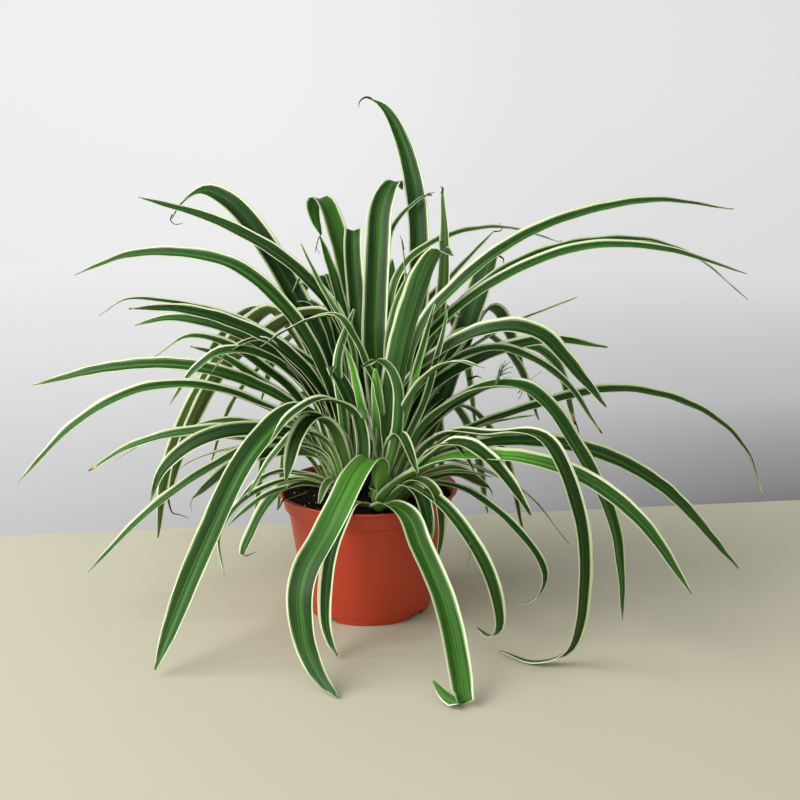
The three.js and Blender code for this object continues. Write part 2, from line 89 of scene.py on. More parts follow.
# ---- the blades ----
HIGHEST_ROOT = 24  # the steepest leaves leave the crown this far above the mix
FURTHEST_ROOT = 7  # the flattest leaves leave it this far from its axis
FLAT_RISE = 45  # degrees: a leaf that starts off less steeply than this comes from outside
TIP_WIDTH = 1.8
WIDEST_AT = 0.36  # share of the length at which a leaf is widest
BASE_SHARE = 0.72  # breadth of a leaf's foot, as a share of its greatest width
NARROWEST_BASE = 6
SLENDER = 10  # leaves up to this width have the plain taper
TAPER = 3.2  # power of the curve that narrows a blade towards its tip
TAPER_PER_WIDTH = 0.16  # what each further millimetre of width adds to that power
FOLD_AT_BASE = 50  # degrees that each half of a blade turns up from flat
FOLD_AT_MIDDLE = 25
FOLD_AT_TIP = 14
OPEN_AT = 0.22  # share of the length at which the fold has opened
FLATTENS_FROM = 0.5  # share of the length from which it flattens on towards the tip
LEANS_BY = 0.5  # share of the length at which a leaf's lean is reached
CUPPED = 0.25  # share of the fold's rise that comes in a curve, and not straight from the rib
RIPPLE = (0.15, 0.5)  # the edges wave by this much
RIPPLE_LENGTH = (22, 40)
RIPPLE_LAG = 1.3  # radians by which the wave of one edge is ahead of the other's
MARGIN_PER_WIDTH = 0.08  # what a leaf's width adds to its margins, for each millimetre
MARGIN_SPREAD = (0.8, 1.25)  # a leaf's margins vary by a factor between these
BROADEST_MARGIN = 0.19  # share of the leaf's width
MARGIN_FROM = 40  # the margins reach their full breadth this far up the leaf
DRY_TIP = (0.5, 3.5)  # its length
DRY_TIPS = 0.6  # share of the leaves with a dry tip
RIB_BULGE = 0.45  # the rib stands this far below the blade
RIB_BREADTH = 0.14  # share of the half width
SHEATHS = 7  # short ones that wrap the foot of each crown
HALF_SECTION = (0, 0.1, 0.32, 0.6, 0.84, 0.95, 1)  # shares of the half width, closer at rib and edge
FINE_STEPS = 240  # steps that measure a leaf's curve
RING_LENGTH = 5.5  # millimetres of leaf for each ring of the mesh
FEWEST_RINGS, MOST_RINGS = 30, 68
LEAF_LAYERS = ("blade", "blade_mm", "leaf_look", "leaf_extra")  # what each vertex tells the material
BLADE_NOISES = (  # for each: scale across and along the blade, detail and roughness
    ((0.75, 0.006, 1.0), 2.0, 0.6),  # broad streaks
    ((1.9, 0.008, 1.0), 1.0, 0.5),  # veins
    ((0.15, 0.03, 1.0), 2.0, 0.5),  # the wandering of the margin's inner edge
)

# ---- the strands ----
STRAND_SIDES = 6
STRAND_RINGS = 16
STRAND_END = 0.4  # breadth of a strand's far end

# ---- the studio ----
CAMERA_PLACE = (28, -1098.5, 457)
CAMERA_TILT = 76.0  # degrees from straight down
LENS, SENSOR = 60.075, 36  # focal length, and the sensor's width
STAGE_RADIUS = 2600
STAGE_SIDES = 96
STAGE_HEIGHT = 1500
SWEEP = 500  # radius of the curve from the floor up to the wall
SWEEP_STEPS = 8
TABLE_EDGE = ((-373.9, 170.0), (463.2, 284.7))  # the table's far edge passes through these
WALL_FADE = 2400  # the wall's painted light fades over this distance from the table's far edge
# Painted light and shade of the wall: grey of its glow by share of WALL_FADE, at its left and at its
# right. The low greys by the table's edge and on the right are painted shade.
LEFT_WALL_PAINTED_LIGHT = ((0, 0.50), (0.05, 0.53), (0.24, 0.63), (0.41, 0.69), (0.8, 0.76), (1, 0.82))
RIGHT_WALL_PAINTED_LIGHT = ((0, 0.12), (0.02, 0.16), (0.09, 0.26), (0.19, 0.42), (0.54, 0.60), (1, 0.74))
LIGHT_AIM = (0, 0, 150)
KEY_PLACE, KEY_SIDE = (-1850, -900, 1400), 2300
FILL_PLACE, FILL_SIDE = (250, -1900, 1000), 1500


def leaf(heading, width, lean, *path, **look):
    """One leaf: its heading in degrees from +X, its greatest width, the degrees by which its face
    leans to the front, and points of its midrib as (out, up) or (out, up, left) from its crown's
    axis. The look may set margin (mm), dry (mm of dried tip), fold (degrees), blunt (the higher,
    the longer the leaf keeps its width), aged (0 to 1) and bright (0 to 1, low and at the tip)."""
    return {"heading": heading, "width": width, "lean": lean, "path": path, "look": look}


LEFT_LEAVES = [
    leaf(165, 19, 25, (5, 180), (35, 245), (85, 290), (130, 301), (185, 299), (240, 280)),
    leaf(180, 17, 30, (10, 180), (45, 225), (90, 249), (130, 260), (173, 261), dry=5),
    leaf(172, 15, 30, (30, 200), (70, 230), (110, 245), (145, 249), (175, 242), dry=4, blunt=5),
    leaf(164, 12, 25, (35, 180), (68, 207), (100, 225), (135, 230), (168, 210)),
    leaf(168, 12, 25, (35, 170), (70, 196), (100, 215), (130, 223)),
    leaf(178, 16, 35, (30, 168), (80, 198), (135, 211), (195, 208), (260, 193)),
    leaf(195, 18, 15, (15, 148), (65, 181), (115, 200), (165, 200), (215, 177), (265, 130)),
    leaf(188, 18, 15, (20, 180), (60, 220), (95, 226), (120, 210), (140, 183)),
    leaf(184, 13, 10, (18, 185), (40, 215), (62, 235), (88, 227), (105, 208)),
    leaf(190, 16, 15, (15, 135), (60, 146), (105, 128), (160, 92), (215, 40)),
    leaf(182, 15, 40, (15, 130), (55, 136), (90, 124), (125, 96), blunt=5),
    leaf(175, 13, 30, (15, 130), (75, 152), (135, 150), (185, 135), (220, 113), dry=9),
    leaf(170, 9, 0, (15, 128), (85, 143), (165, 139), (205, 117)),
    leaf(164, 14, 15, (15, 135), (65, 152), (110, 155), (142, 145)),
    leaf(186, 18, 40, (15, 140), (70, 157), (115, 150), (148, 125), (160, 98)),
    leaf(159, 9, 0, (35, 133), (95, 130), (140, 115), (158, 103)),
    leaf(176, 10, 0, (30, 148), (85, 138), (122, 115)),
]
FRONT_LEFT_LEAVES = [
    leaf(222, 24, 20, (8, 155), (50, 186), (95, 162), (145, 92), (194, 6), margin=1.3, blunt=6,
         dry=2, fold=28),
    leaf(235, 19, 0, (5, 135), (22, 168), (45, 181), (65, 169), (80, 138), margin=2.6, blunt=5,
         dry=1.5),
    leaf(215, 11, 0, (18, 152), (45, 168), (72, 150), (95, 122), margin=1.3, blunt=3, dry=1.5),
    leaf(212, 12, 0, (12, 115), (45, 131), (75, 134), (102, 117)),
    leaf(208, 12, 0, (10, 108), (45, 125), (90, 116), (114, 90), (112, 52)),
    leaf(204, 12, 0, (10, 106), (35, 118), (75, 112), (105, 93)),
    leaf(196, 14, 25, (12, 112), (45, 122), (66, 106), (82, 80), (90, 60), (78, 62), blunt=6),
    leaf(120, 15, 0, (-24, 150, -5), (-18, 170, -3), (-11, 187, 1), (-4, 203, 6), (3, 214, 10),
         (1, 218, 13), (-5, 217, 17), (-8, 212, 18), margin=1, blunt=5),
    leaf(80, 13, 0, (-23, 148, -19), (-21, 165, -18), (-20, 178, -15), (-18, 185, -13),
         (-23, 188, -16), (-27, 186, -20), (-28, 179, -23), margin=1, blunt=4),
    leaf(262, 10, 0, (3, 170, -2), (6, 223, -6), (5, 266, 8)),
    leaf(246, 10, 0, (10, 112), (24, 125), (40, 124), (52, 113)),
]
FRONT_RIGHT_LEAVES = [
    leaf(250, 24, 0, (13, 119, 2), (18, 137, 5), (33, 147, 4), (57, 143, 2), (80, 129, 0),
         (105, 105, -6), (126, 86, -12), (138, 69, -13), (144, 50, -10), (150, 29, -3),
         (158, 11, 12), (165, 2, 28), bright=(0.65, 0), margin=1.2, blunt=4.5, dry=1.5, fold=14),
    leaf(245, 15, 0, (45, 110, -4), (62, 103, -3), (79, 82, -5), (87, 56, -6), (93, 28, -4),
         (97, 12, 2), (101, 4, 10), margin=2.4, blunt=4.5, dry=2),
    leaf(290, 22, 0, (30, 103, -13), (46, 112, -10), (61, 113, -6), (75, 108, -2), (88, 94, 0),
         (102, 78, 4), (121, 60, 7), (141, 41, 7), (158, 25, 5), (174, 13, 2), (184, 8.5, -1),
         (189, 6, -2), (187, 4.6, -5), (180, 5.4, -10), (172, 9, -14), (166, 14, -17), margin=2,
         blunt=6, dry=0, bright=(0.2, 0.25)),
    leaf(300, 29, 0, (22, 206, 4), (34, 243, 5), (48, 275, 6), (58, 296, 7), (68, 313, 9),
         (78, 321, 10), (89, 320, 9), (98, 320, 8), margin=2, blunt=5, fold=38),
    leaf(275, 11, 0, (12, 132, 5), (20, 160, 11), (28, 191, 13), (34, 210, 11), (37, 224, 5),
         (39, 231, -3), (40, 230, -11), (40, 226, -18), margin=1.2, blunt=3),
    leaf(160, 14, 0, (-5, 148, 10), (-5, 170, 13), (-3, 191, 16), (0, 209, 19), (6, 224, 22),
         (14, 243, 24), (30, 261, 22), (52, 257, 20), (76, 246, 20), (100, 230, 20), margin=0.9,
         bright=(1, 0.4)),
    leaf(80, 9, 0, (14, 203, -4), (18, 236, -4), (23, 265, -9), (29, 295, -21), bright=(0.3, 0.3)),
    leaf(60, 7, 0, (11, 189, -22), (17, 218, -27), (22, 243, -31), (27, 269, -36), margin=0.5,
         bright=(1, 1)),
    leaf(55, 8, 0, (24, 188, -29), (31, 222, -35), (36, 242, -38), (39, 263, -40)),
    leaf(238, 11, 0, (14, 168, -6), (25, 197, -6), (30, 214, -6), (37, 231, -6), (43, 241, -6),
         bright=(1, 0.9), dry=0),
    leaf(219, 16, 0, (15, 153), (32, 185), (60, 198), (90, 190), (111, 171)),
    leaf(190, 13, 0, (16, 164), (23, 211), (31, 238), bright=(0.8, 0.8), dry=0),
    leaf(262, 13, 0, (4, 140), (12, 176), (22, 206), (28, 222), bright=(0.9, 0.9), dry=0),
    leaf(335, 20, 20, (11, 111, -16), (25, 126, -16), (47, 140, -14), (69, 150, -13),
         (90, 154, -13), (112, 157, -15), (135, 158, -17), (183, 149, -19), (229, 121, -20),
         (270, 70, -18), bright=(0.9, 0.1)),
    leaf(320, 17, 15, (22, 116), (38, 135, 3), (60, 157, 5), (75, 164, 4), (90, 164, 5),
         (113, 154, 5), (134, 137, 5), (148, 119, 7), margin=2.4),
    leaf(326, 11, 0, (20, 118, 2), (40, 143, 4), (53, 155, 3), (66, 161, 4), (78, 155, 4),
         (89, 141, 4), margin=1.6),
    leaf(302, 12, 0, (8, 140), (30, 166), (58, 140)),
    leaf(310, 17, 0, (28, 120), (75, 117), (125, 82), (143, 50), (144, 33), (135, 24), (120, 26)),
    leaf(297, 15, 0, (28, 116, 5), (40, 123, 7), (52, 119, 10), (61, 109, 10), (68, 97, 9),
         (75, 84, 6), margin=1.3, blunt=4),
    leaf(323, 14, 0, (24, 115, -2), (40, 127, -5), (58, 127, -10), (69, 117, -14), (74, 96, -17),
         (74, 71, -21), aged=0.5),
    leaf(312, 12, 0, (8, 130), (26, 178), (52, 214), (85, 235), (120, 236)),
]
RIGHT_LEAVES = [
    leaf(15, 20, 15, (20, 240), (55, 280), (90, 306), (140, 329), (225, 345), (305, 336)),
    leaf(4, 20, 15, (18, 222), (40, 250), (90, 286), (155, 310), (220, 309), (295, 288)),
    leaf(340, 21, 30, (8, 195), (43, 230), (65, 243), (89, 251), (107, 252), (126, 246),
         (144, 229), (162, 210), (178, 193), blunt=5),
    leaf(349, 14, 20, (8, 175), (40, 213), (85, 231), (135, 210), (172, 163), dry=9, margin=1.8),
    leaf(0, 17, 30, (20, 183), (70, 219), (125, 235), (176, 229)),
    leaf(335, 23, 10, (24, 162), (53, 188), (75, 200), (96, 205), (116, 203), (134, 190),
         (156, 161), (175, 132), (189, 103), (198, 61), (202, 20)),
    leaf(8, 13, 25, (35, 141), (110, 171), (195, 186), (270, 164), (312, 127), (331, 82), blunt=8),
    leaf(14, 8, 0, (35, 140), (80, 157), (125, 163)),
    leaf(0, 17, 45, (18, 125), (85, 146), (160, 140), (225, 108), (298, 32)),
    leaf(315, 18, 5, (28, 142), (60, 166), (100, 172), (158, 180), (190, 135), (200, 85),
         (186, 14, 3), (165, 3, -12), (132, 2, -15)),
    leaf(325, 13, 0, (22, 111), (52, 117), (85, 110), (130, 81), (145, 58), (138, 38), (120, 25)),
    leaf(5, 15, 40, (15, 106), (47, 119), (80, 104), aged=0.8, blunt=5),
    leaf(10, 8, 0, (30, 128), (110, 98), (155, 45)),
    leaf(20, 8, 0, (35, 138), (75, 148), (112, 144)),
    leaf(352, 9, 0, (18, 112), (50, 122), (82, 119)),
    leaf(325, 10, 0, (10, 150, -5), (22, 205, -7), (35, 268, 2)),
]
BACK_RIGHT_LEAVES = [
    leaf(95, 20, 0, (8, 238, -22), (16, 262, -28), (28, 304, -30), (40, 333, -30), (54, 362, -27),
         (69, 389, -21), (82, 412, -12), (93, 424, -3), (102, 430, 7), margin=1.5, blunt=4.5,
         dry=3),
    leaf(85, 24, 0, (-1, 227, 10), (7, 264, 10), (17, 306, 9), (30, 337, 8), (37, 351, 4),
         (46, 360, -1), (55, 360, -5), (61, 353, -8), margin=2, blunt=7),
    leaf(65, 14, 0, (27, 229, -34), (34, 254, -35), (39, 275, -36), (45, 305, -34), (50, 330, -31),
         (55, 357, -27), margin=1, dry=4, blunt=3, aged=0.35),
    leaf(30, 6.5, 40, (6, 263, 14), (14, 305, 22), (18, 320, 24), (27, 332, 24), (37, 341, 23),
         (49, 349, 20), (56, 350, 19), dry=7),
    leaf(20, 14, 15, (35, 215), (85, 270), (150, 300), (240, 306), (300, 288), (360, 245)),
    leaf(35, 9, 20, (2, 240), (14, 288), (50, 311), (120, 319), (200, 299), dry=7, aged=0.3),
    leaf(42, 10, 0, (32, 242), (80, 280), (130, 314)),
    leaf(50, 30, 0, (40, 120), (70, 153), (91, 184), (107, 210), (122, 238), (137, 264),
         (147, 281), (156, 288), (161, 286), blunt=9),
    leaf(45, 16, -35, (50, 170), (105, 215), (132, 241), (147, 236), (160, 217), (172, 197),
         (184, 169), dry=9, blunt=4),
    leaf(27, 13, -45, (40, 170), (80, 203), (130, 215), (172, 195), (197, 132), dry=13),
    leaf(12, 8, 0, (45, 195), (100, 235), (170, 262), dry=22, margin=0.4),
    leaf(10, 16, 0, (40, 152), (80, 180), (96, 186), (107, 186)),
    leaf(58, 13, 0, (30, 190), (64, 186), (88, 135), (95, 75)),
    leaf(340, 5, 0, (12, 240, 5), (15, 274, 6), (14, 300, 5), (12, 316, 5), dry=6),
]
BACK_LEFT_LEAVES = [
    leaf(160, 17, 25, (10, 235), (50, 285), (125, 325), (205, 345), blunt=4, dry=3),
    leaf(150, 24, 30, (30, 210), (60, 260), (100, 315), (128, 340), (154, 350, 2), (167, 344, 10),
         (172, 336, 18), (175, 326, 24), blunt=6),
    leaf(165, 13, 10, (25, 193), (70, 225), (115, 245), (180, 256), (215, 255), (240, 240)),
    leaf(148, 17, -45, (45, 200), (65, 230), (87, 247), (125, 222), (180, 155), (222, 75),
         (236, 6), aged=0.6),
    leaf(155, 17, -45, (0, 190), (22, 248), (55, 246), (92, 225), (135, 190), (180, 115),
         (200, 60), aged=0.6, dry=6),
    leaf(143, 10, 0, (35, 190), (62, 214), (105, 195), (150, 148), (180, 85)),
    leaf(125, 23, 0, (8, 227, -13), (17, 251, -12), (25, 274, -10), (35, 298, -10), (48, 326, -9),
         (58, 342, -8), (66, 345, -7), (76, 339, -8), (80, 326, -12), (81, 311, -18), margin=2.2,
         blunt=6, bright=(0.35, 0.35)),
    leaf(150, 9, 0, (-13, 227, 25), (-2, 254, 26), (7, 268, 28), (17, 285, 30), (24, 300, 32),
         (31, 314, 33), margin=1.2, dry=2, bright=(0.8, 0.8)),
    leaf(95, 18, 0, (10, 219, -5), (20, 261, -3), (30, 295, -1), (36, 311, -1), (42, 318, -2),
         (56, 316, -2), (77, 302, -3), (97, 276, -2), margin=1.6),
    leaf(120, 8, 0, (9, 225, 2), (21, 253, 3), (33, 274, 5), (44, 281, 3), (57, 278, -4),
         (73, 266, -16), margin=1.2),
    leaf(150, 8, 0, (5, 231, 7), (21, 259, 5), (34, 277, 3), (43, 285, 1), (50, 286),
         (58, 276, -2), (65, 263, -2), (70, 252, -2), dry=5),
    leaf(168, 13, 0, (25, 130), (60, 143), (90, 116)),
    leaf(132, 15, 0, (8, 210), (22, 268), (45, 315), blunt=5, margin=1.6),
]

# Each rosette: the direction of its crown from the pot's axis, in degrees, and its leaves.
ROSETTES = {
    "left": (172, LEFT_LEAVES),
    "front_left": (230, FRONT_LEFT_LEAVES),
    "front_right": (297, FRONT_RIGHT_LEAVES),
    "right": (355, RIGHT_LEAVES),
    "back_right": (50, BACK_RIGHT_LEAVES),
    "back_left": (115, BACK_LEFT_LEAVES),
}

# The far side is grown by rule, in three tiers, as in the part's source.
BACK_TIERS = ((185, 158, 30, 13), (190, 235, 120, 15), (90, 262, 240, 15))  # reach, apex, end, width
BACK_SPREADS = ((0.8, 1.15), (0.92, 1.08), (0.8, 1.2), (0.8, 1.2))  # shares of each of those
BACK_HEADINGS = {"back_right": (30, 92, 71), "back_left": (98, 148, 29)}  # first, last and seed
BACK_COUNT = 9
CLIMB = 0.66  # share of the way up to the apex at which a leaf starts to arch
DROOP = 0.33  # share of the way down from it at which a leaf starts to hang

# Shrivelled tips, hairs and stalks: the breadth at the start, then points as (x, y, z). Each one
# starts in the end of a leaf or lies over the pot's rim.
STRANDS = {
    "dried": [
        (2.4, (3, 121, 429), (-1, 121, 431), (-5, 121, 430), (-8, 121, 427), (-9, 121, 422)),
        (2.6, (64, 58, 352), (65, 58, 355), (63, 58, 358)),
        (1.6, (49, 63, 349), (53, 64, 351), (58, 64, 352)),
        (1.5, (31, 21, 308), (30, 21, 315), (28, 21, 320)),
        (1.0, (-43, 100, 312), (-46, 100, 305), (-47, 100, 299), (-44, 100, 294)),
        (0.8, (-46, 100, 304), (-48, 100, 298), (-48, 100, 295)),
        (1.3, (113, 107, 313), (119, 107, 314), (120, 107, 316), (117, 107, 321)),
        (2.6, (118, 142, 288), (121, 141, 286), (124, 140, 284), (125, 140, 278)),
        (1.8, (176, 132, 301), (181, 135, 299), (188, 136, 297)),
        (1.4, (147, 150, 172), (147, 150, 160), (145, 150, 152), (142, 150, 146)),
        (1.7, (192, 109, 135), (195, 109, 127), (196, 109, 120)),
        (1.4, (-179, 121, 327), (-181, 121, 322), (-177, 121, 318), (-170, 121, 319)),
        (2.4, (-192, 108, 63), (-191, 108, 53), (-188, 108, 45), (-183, 108, 44), (-173, 108, 40)),
        (3.0, (-60, -30, 104), (-66, -33, 108.2), (-70.5, -35, 104.5), (-73, -37, 99.5),
         (-76, -38, 99)),
        (1.8, (104, 5, 105), (107, 4, 101), (108, 4, 97)),
        (3.2, (88, 60, 187), (93, 60, 189), (97, 60, 190), (101, 60, 188)),
    ],
    "straw": [
        (0.8, (-150, -1, 98), (-153, -1, 90), (-152, -1, 84)),
        (0.8, (83, -112, 96), (81, -112, 87), (80, -112, 82), (77, -112, 78)),
        (1.2, (-50, -37, 113), (-60, -40, 110), (-67, -41, 108)),
        (1.0, (124, -41, 199), (134, -40, 210), (143, -40, 217)),
    ],
    "green": [
        (1.0, (83, -112, 95), (83, -112, 85), (81, -112, 77)),
        (3.5, (106, -41, 205), (110, -38, 217), (113, -38, 221), (118, -38, 225)),
        (1.6, (109, -38, 214), (115, -38, 219), (120, -38, 220)),
        (1.6, (109, -38, 213), (111, -38, 220), (114, -38, 226)),
        (1.6, (109, -38, 213), (114, -38, 215), (119, -38, 216)),
        (1.4, (108, -38, 212), (109, -38, 219), (111, -38, 224)),
    ],
}


# ---- small tools ----
def mm(*values):
    """A point given in millimetres, in Blender's metres."""
    return Vector(values) * MM


def clamp(value, low=0.0, high=1.0):
    return max(low, min(high, value))


def smooth_step(value):
    share = clamp(value)
    return share * share * (3 - 2 * share)


def blend(start, stop, share):
    return start + (stop - start) * share


def seeded_random(seed):
    """The minimal standard generator: the same seed always gives the same numbers, from 0 to 1."""
    state = seed
    while True:
        state = (state * 48271) % 2147483647
        yield state / 2147483647


def between(numbers, low, high):
    return blend(low, high, next(numbers))


def linear(hex_colour, alpha=1.0):
    """A colour written as sRGB hex, as the linear values that Blender keeps."""
    def channel(value):
        return value / 12.92 if value <= 0.04045 else ((value + 0.055) / 1.055) ** 2.4

    digits = hex_colour.lstrip("#")
    red, green, blue = (int(digits[i:i + 2], 16) / 255 for i in (0, 2, 4))
    return (channel(red), channel(green), channel(blue), alpha)


def colour_property(name, description, hex_colour):
    return FloatVectorProperty(
        name=name, description=description, subtype="COLOR", size=4, min=0, max=1,
        default=linear(hex_colour))


# ---- settings that a user may change ----
class PotSettings(bpy.types.PropertyGroup):
    """The nursery pot."""

    colour: colour_property("Plastic", "Colour of the moulded plastic", "#BF3E20")
    gloss: FloatProperty(
        name="Roughness", description="Roughness of the moulded surface",
        default=0.42, min=0, max=1, subtype="FACTOR")
    sides: IntProperty(name="Sides", description="Steps round the pot", default=144, min=24)


class LeafSettings(bpy.types.PropertyGroup):
    """The leaf blades."""

    green: colour_property("Blade", "Dark green of the blade's upper face", "#234216")
    stripe: colour_property("Stripe", "Brighter green along the rib", "#477A2B")
    fresh: colour_property("Fresh leaf", "Green of a young blade", "#5A9636")
    olive: colour_property("Aged leaf", "Olive that an ageing blade turns to", "#454F1C")
    pale: colour_property("Streaks", "Thin pale streaks beside the margins", "#A3C888")
    margin: colour_property("Margin", "Cream of the edges", "#DCE6BC")
    underside: colour_property("Underside", "Duller green of the lower face", "#4A7340")
    young: colour_property("Foot", "Yellow green of the leaf's foot", "#8CB85A")
    dry: colour_property("Dried strands", "Nearly black brown of shrivelled tips", "#2A1C15")
    straw: colour_property("Straw", "Yellow brown of dying stalks", "#9A8748")
    thickness: FloatProperty(
        name="Thickness", description="Thickness of the blade beside its rib",
        default=0.5 * MM, min=0.1 * MM, unit="LENGTH")
    margin_width: FloatProperty(
        name="Margin width",
        description="Breadth of the cream edge, before the leaf's width adds to it",
        default=0.45 * MM, min=0, unit="LENGTH")


class MixSettings(bpy.types.PropertyGroup):
    """The potting mix."""

    peat: colour_property("Peat", "Dark brown of the moist mix", "#1A0F09")
    bark: colour_property("Bark", "Brown of the bark chips", "#33221A")
    perlite: colour_property("Perlite", "White of the perlite grains", "#D9D3C4")
    crumbs: IntProperty(
        name="Crumbs", description="Bark crumbs on the surface", default=900, min=0)
    grains: IntProperty(
        name="Perlite grains", description="Perlite grains on the surface", default=90, min=0)


class StageSettings(bpy.types.PropertyGroup):
    """The studio round the plant."""

    table: colour_property("Table", "Colour of the table top", "#C2BDA7")
    wall: colour_property("Wall", "Colour of the wall behind", "#3C3C3C")
    key: FloatProperty(
        name="Key light", description="Power of the large light at the left",
        default=91, min=0, unit="POWER")
    fill: FloatProperty(
        name="Fill light", description="Power of the weaker light in front",
        default=6, min=0, unit="POWER")


SETTINGS = {
    "spider_pot": PotSettings,
    "spider_leaves": LeafSettings,
    "spider_mix": MixSettings,
    "spider_stage": StageSettings,
}

# ---- materials ----
FACTOR, FIRST, SECOND, MIXED = 0, 6, 7, 2  # sockets of a Mix node that mixes colours
SMOOTH = {"interpolation_type": "SMOOTHSTEP"}


def set_inputs(node, inputs):
    """Links each input that is given a socket, and sets the others."""
    for name, value in inputs.items():
        if isinstance(value, bpy.types.NodeSocket):
            node.id_data.links.new(value, node.inputs[name])
        else:
            node.inputs[name].default_value = value


def add_node(tree, kind, inputs=None, stops=(), **settings):
    """Adds one node: inputs are numbers or sockets, stops are a ramp's, and settings are its own
    values. Returns its first output, or the colour of a Mix node; its node holds the others."""
    node = tree.nodes.new("ShaderNode" + kind)
    if kind == "Mix":
        node.data_type = "RGBA"
    for name, value in settings.items():
        setattr(node, name, value)
    for i, (position, colour) in enumerate(stops):
        elements = node.color_ramp.elements
        element = elements[i] if i < len(elements) else elements.new(1.0)
        element.position = position
        element.color = colour
    set_inputs(node, inputs or {})
    return node.outputs[MIXED if kind == "Mix" else 0]


def new_material(name):
    """A material with nodes, what adds a node to it, and its Principled shader."""
    material = bpy.data.materials.new(name)
    material.use_nodes = True
    tree = material.node_tree
    return material, partial(add_node, tree), tree.nodes["Principled BSDF"]


def leaf_material(settings):
    """Living spider-plant leaf: a thin waxy skin over green flesh, which shines softly and keeps
    fine lengthwise streaks. Its edges have no green in them, and its foot is pale and young."""
    material, add, shader = new_material("living_leaf")
    place, sizes, own, extra = (
        add("SeparateXYZ", {0: add("Attribute", attribute_name=layer).node.outputs["Vector"]})
        for layer in LEAF_LAYERS)
    across, _, under = place.node.outputs
    across_mm, along_mm, edge_mm = sizes.node.outputs
    tint, dry_mm, margin_mm = own.node.outputs
    bright, to_tip_mm, aged = extra.node.outputs

    # Streaks run the length of the blade: the noise is stretched along it a hundredfold.
    shift = add("Math", {0: tint, 1: 97.0}, operation="MULTIPLY")
    spot = add("CombineXYZ", {0: across_mm, 1: along_mm, 2: shift})
    streaks, veins, wander = (
        add("TexNoise", {
            "Vector": add("Mapping", {"Vector": spot, "Scale": scale}), "Scale": 1.0,
            "Detail": detail, "Roughness": roughness})
        for scale, detail, roughness in BLADE_NOISES)

    # The stripe along the rib covers the middle third of the blade and fades off unevenly.
    away = add("Math", {0: across}, operation="ABSOLUTE")
    wobble = add("MapRange", {
        "Value": streaks, "From Min": 0.3, "From Max": 0.7, "To Min": -0.16, "To Max": 0.16})
    away = add("Math", {0: away, 1: wobble}, operation="ADD")
    stripe = add("MapRange", {
        "Value": away, "From Min": 0.02, "From Max": 0.38, "To Min": 0.55, "To Max": 0.0}, **SMOOTH)
    green = add("Mix", {FACTOR: stripe, FIRST: settings.green, SECOND: settings.stripe})
    shade = add("MapRange", {
        "Value": veins, "From Min": 0.36, "From Max": 0.64, "To Min": 0.5, "To Max": 1.5})
    vary = add("MapRange", {"Value": tint, "To Min": 0.62, "To Max": 1.24})
    shade = add("Math", {0: shade, 1: vary}, operation="MULTIPLY")
    green = add("HueSaturation", {"Color": green, "Value": shade})
    fresh = add("HueSaturation", {"Color": settings.fresh, "Value": shade})
    upper = add("Mix", {FACTOR: bright, FIRST: green, SECOND: fresh})

    # A thin pale streak runs inside each margin.
    inner = add("Math", {0: edge_mm, 1: margin_mm}, operation="SUBTRACT")
    band = add("MapRange", {
        "Value": inner, "From Min": 1.7, "From Max": 0.3, "To Min": 0.0, "To Max": 0.65}, **SMOOTH)
    pale = add("MapRange", {"Value": streaks, "From Min": 0.4, "From Max": 0.6}, **SMOOTH)
    pale = add("Math", {0: band, 1: pale}, operation="MULTIPLY")
    upper = add("Mix", {FACTOR: pale, FIRST: upper, SECOND: settings.pale})

    # The lower face is duller, with the same streaks, but a young leaf is fresh below as well.
    lower = add("HueSaturation", {"Color": settings.underside, "Value": shade})
    lower = add("Mix", {FACTOR: bright, FIRST: lower, SECOND: fresh})
    lowered = add("Math", {0: under, 1: 0.75}, operation="MULTIPLY")
    body = add("Mix", {FACTOR: lowered, FIRST: upper, SECOND: lower})
    body = add("Mix", {FACTOR: aged, FIRST: body, SECOND: settings.olive})

    # The foot of a leaf is young: yellow green on both faces, fading out over some centimetres.
    foot = add("MapRange", {
        "Value": along_mm, "From Min": 70.0, "From Max": 5.0, "To Min": 0.0, "To Max": 0.85},
        **SMOOTH)
    body = add("Mix", {FACTOR: foot, FIRST: body, SECOND: settings.young})

    # The margin holds no green; its inner edge wanders a little.
    wander = add("MapRange", {"Value": wander, "To Min": -0.7, "To Max": 0.7})
    margin = add("Math", {0: inner, 1: wander}, operation="ADD")
    margin = add("MapRange", {"Value": margin, "From Min": 0.14, "From Max": -0.14}, **SMOOTH)
    body = add("Mix", {FACTOR: margin, FIRST: body, SECOND: settings.margin})

    # A dried tip goes from straw through brown to nearly black at its very end.
    dried = add("Math", {0: to_tip_mm, 1: dry_mm}, operation="DIVIDE", use_clamp=True)
    dried = add("ValToRGB", {"Fac": dried}, stops=(
        (0.0, linear("#241A14")), (0.25, linear("#6B4225")), (0.6, linear("#B98A45")),
        (1.0, linear("#C8C878"))))
    dryness = add("Math", {0: dry_mm, 1: to_tip_mm}, operation="SUBTRACT")
    dryness = add("MapRange", {"Value": dryness, "From Min": 0.0, "From Max": 2.5}, **SMOOTH)
    body = add("Mix", {FACTOR: dryness, FIRST: body, SECOND: dried})

    # Veins stand a few hundredths of a millimetre proud. Real ones lie 0.5 mm apart, too close
    # to show here, so they are drawn twice as far apart.
    relief = add("Bump", {"Height": veins, "Distance": 0.25 * MM, "Strength": 0.6})
    set_inputs(shader, {
        "Base Color": body,
        "Roughness": add("MapRange", {"Value": veins, "To Min": 0.32, "To Max": 0.48}),
        "IOR": 1.45,  # leaf wax
        "Specular IOR Level": 0.22,  # its bloom dulls the shine
        "Subsurface Weight": 0.25,  # light comes through the blade
        "Subsurface Radius": (0.6, 1.0, 0.2),
        "Subsurface Scale": 1.5 * MM,
        "Normal": relief,
    })
    return material


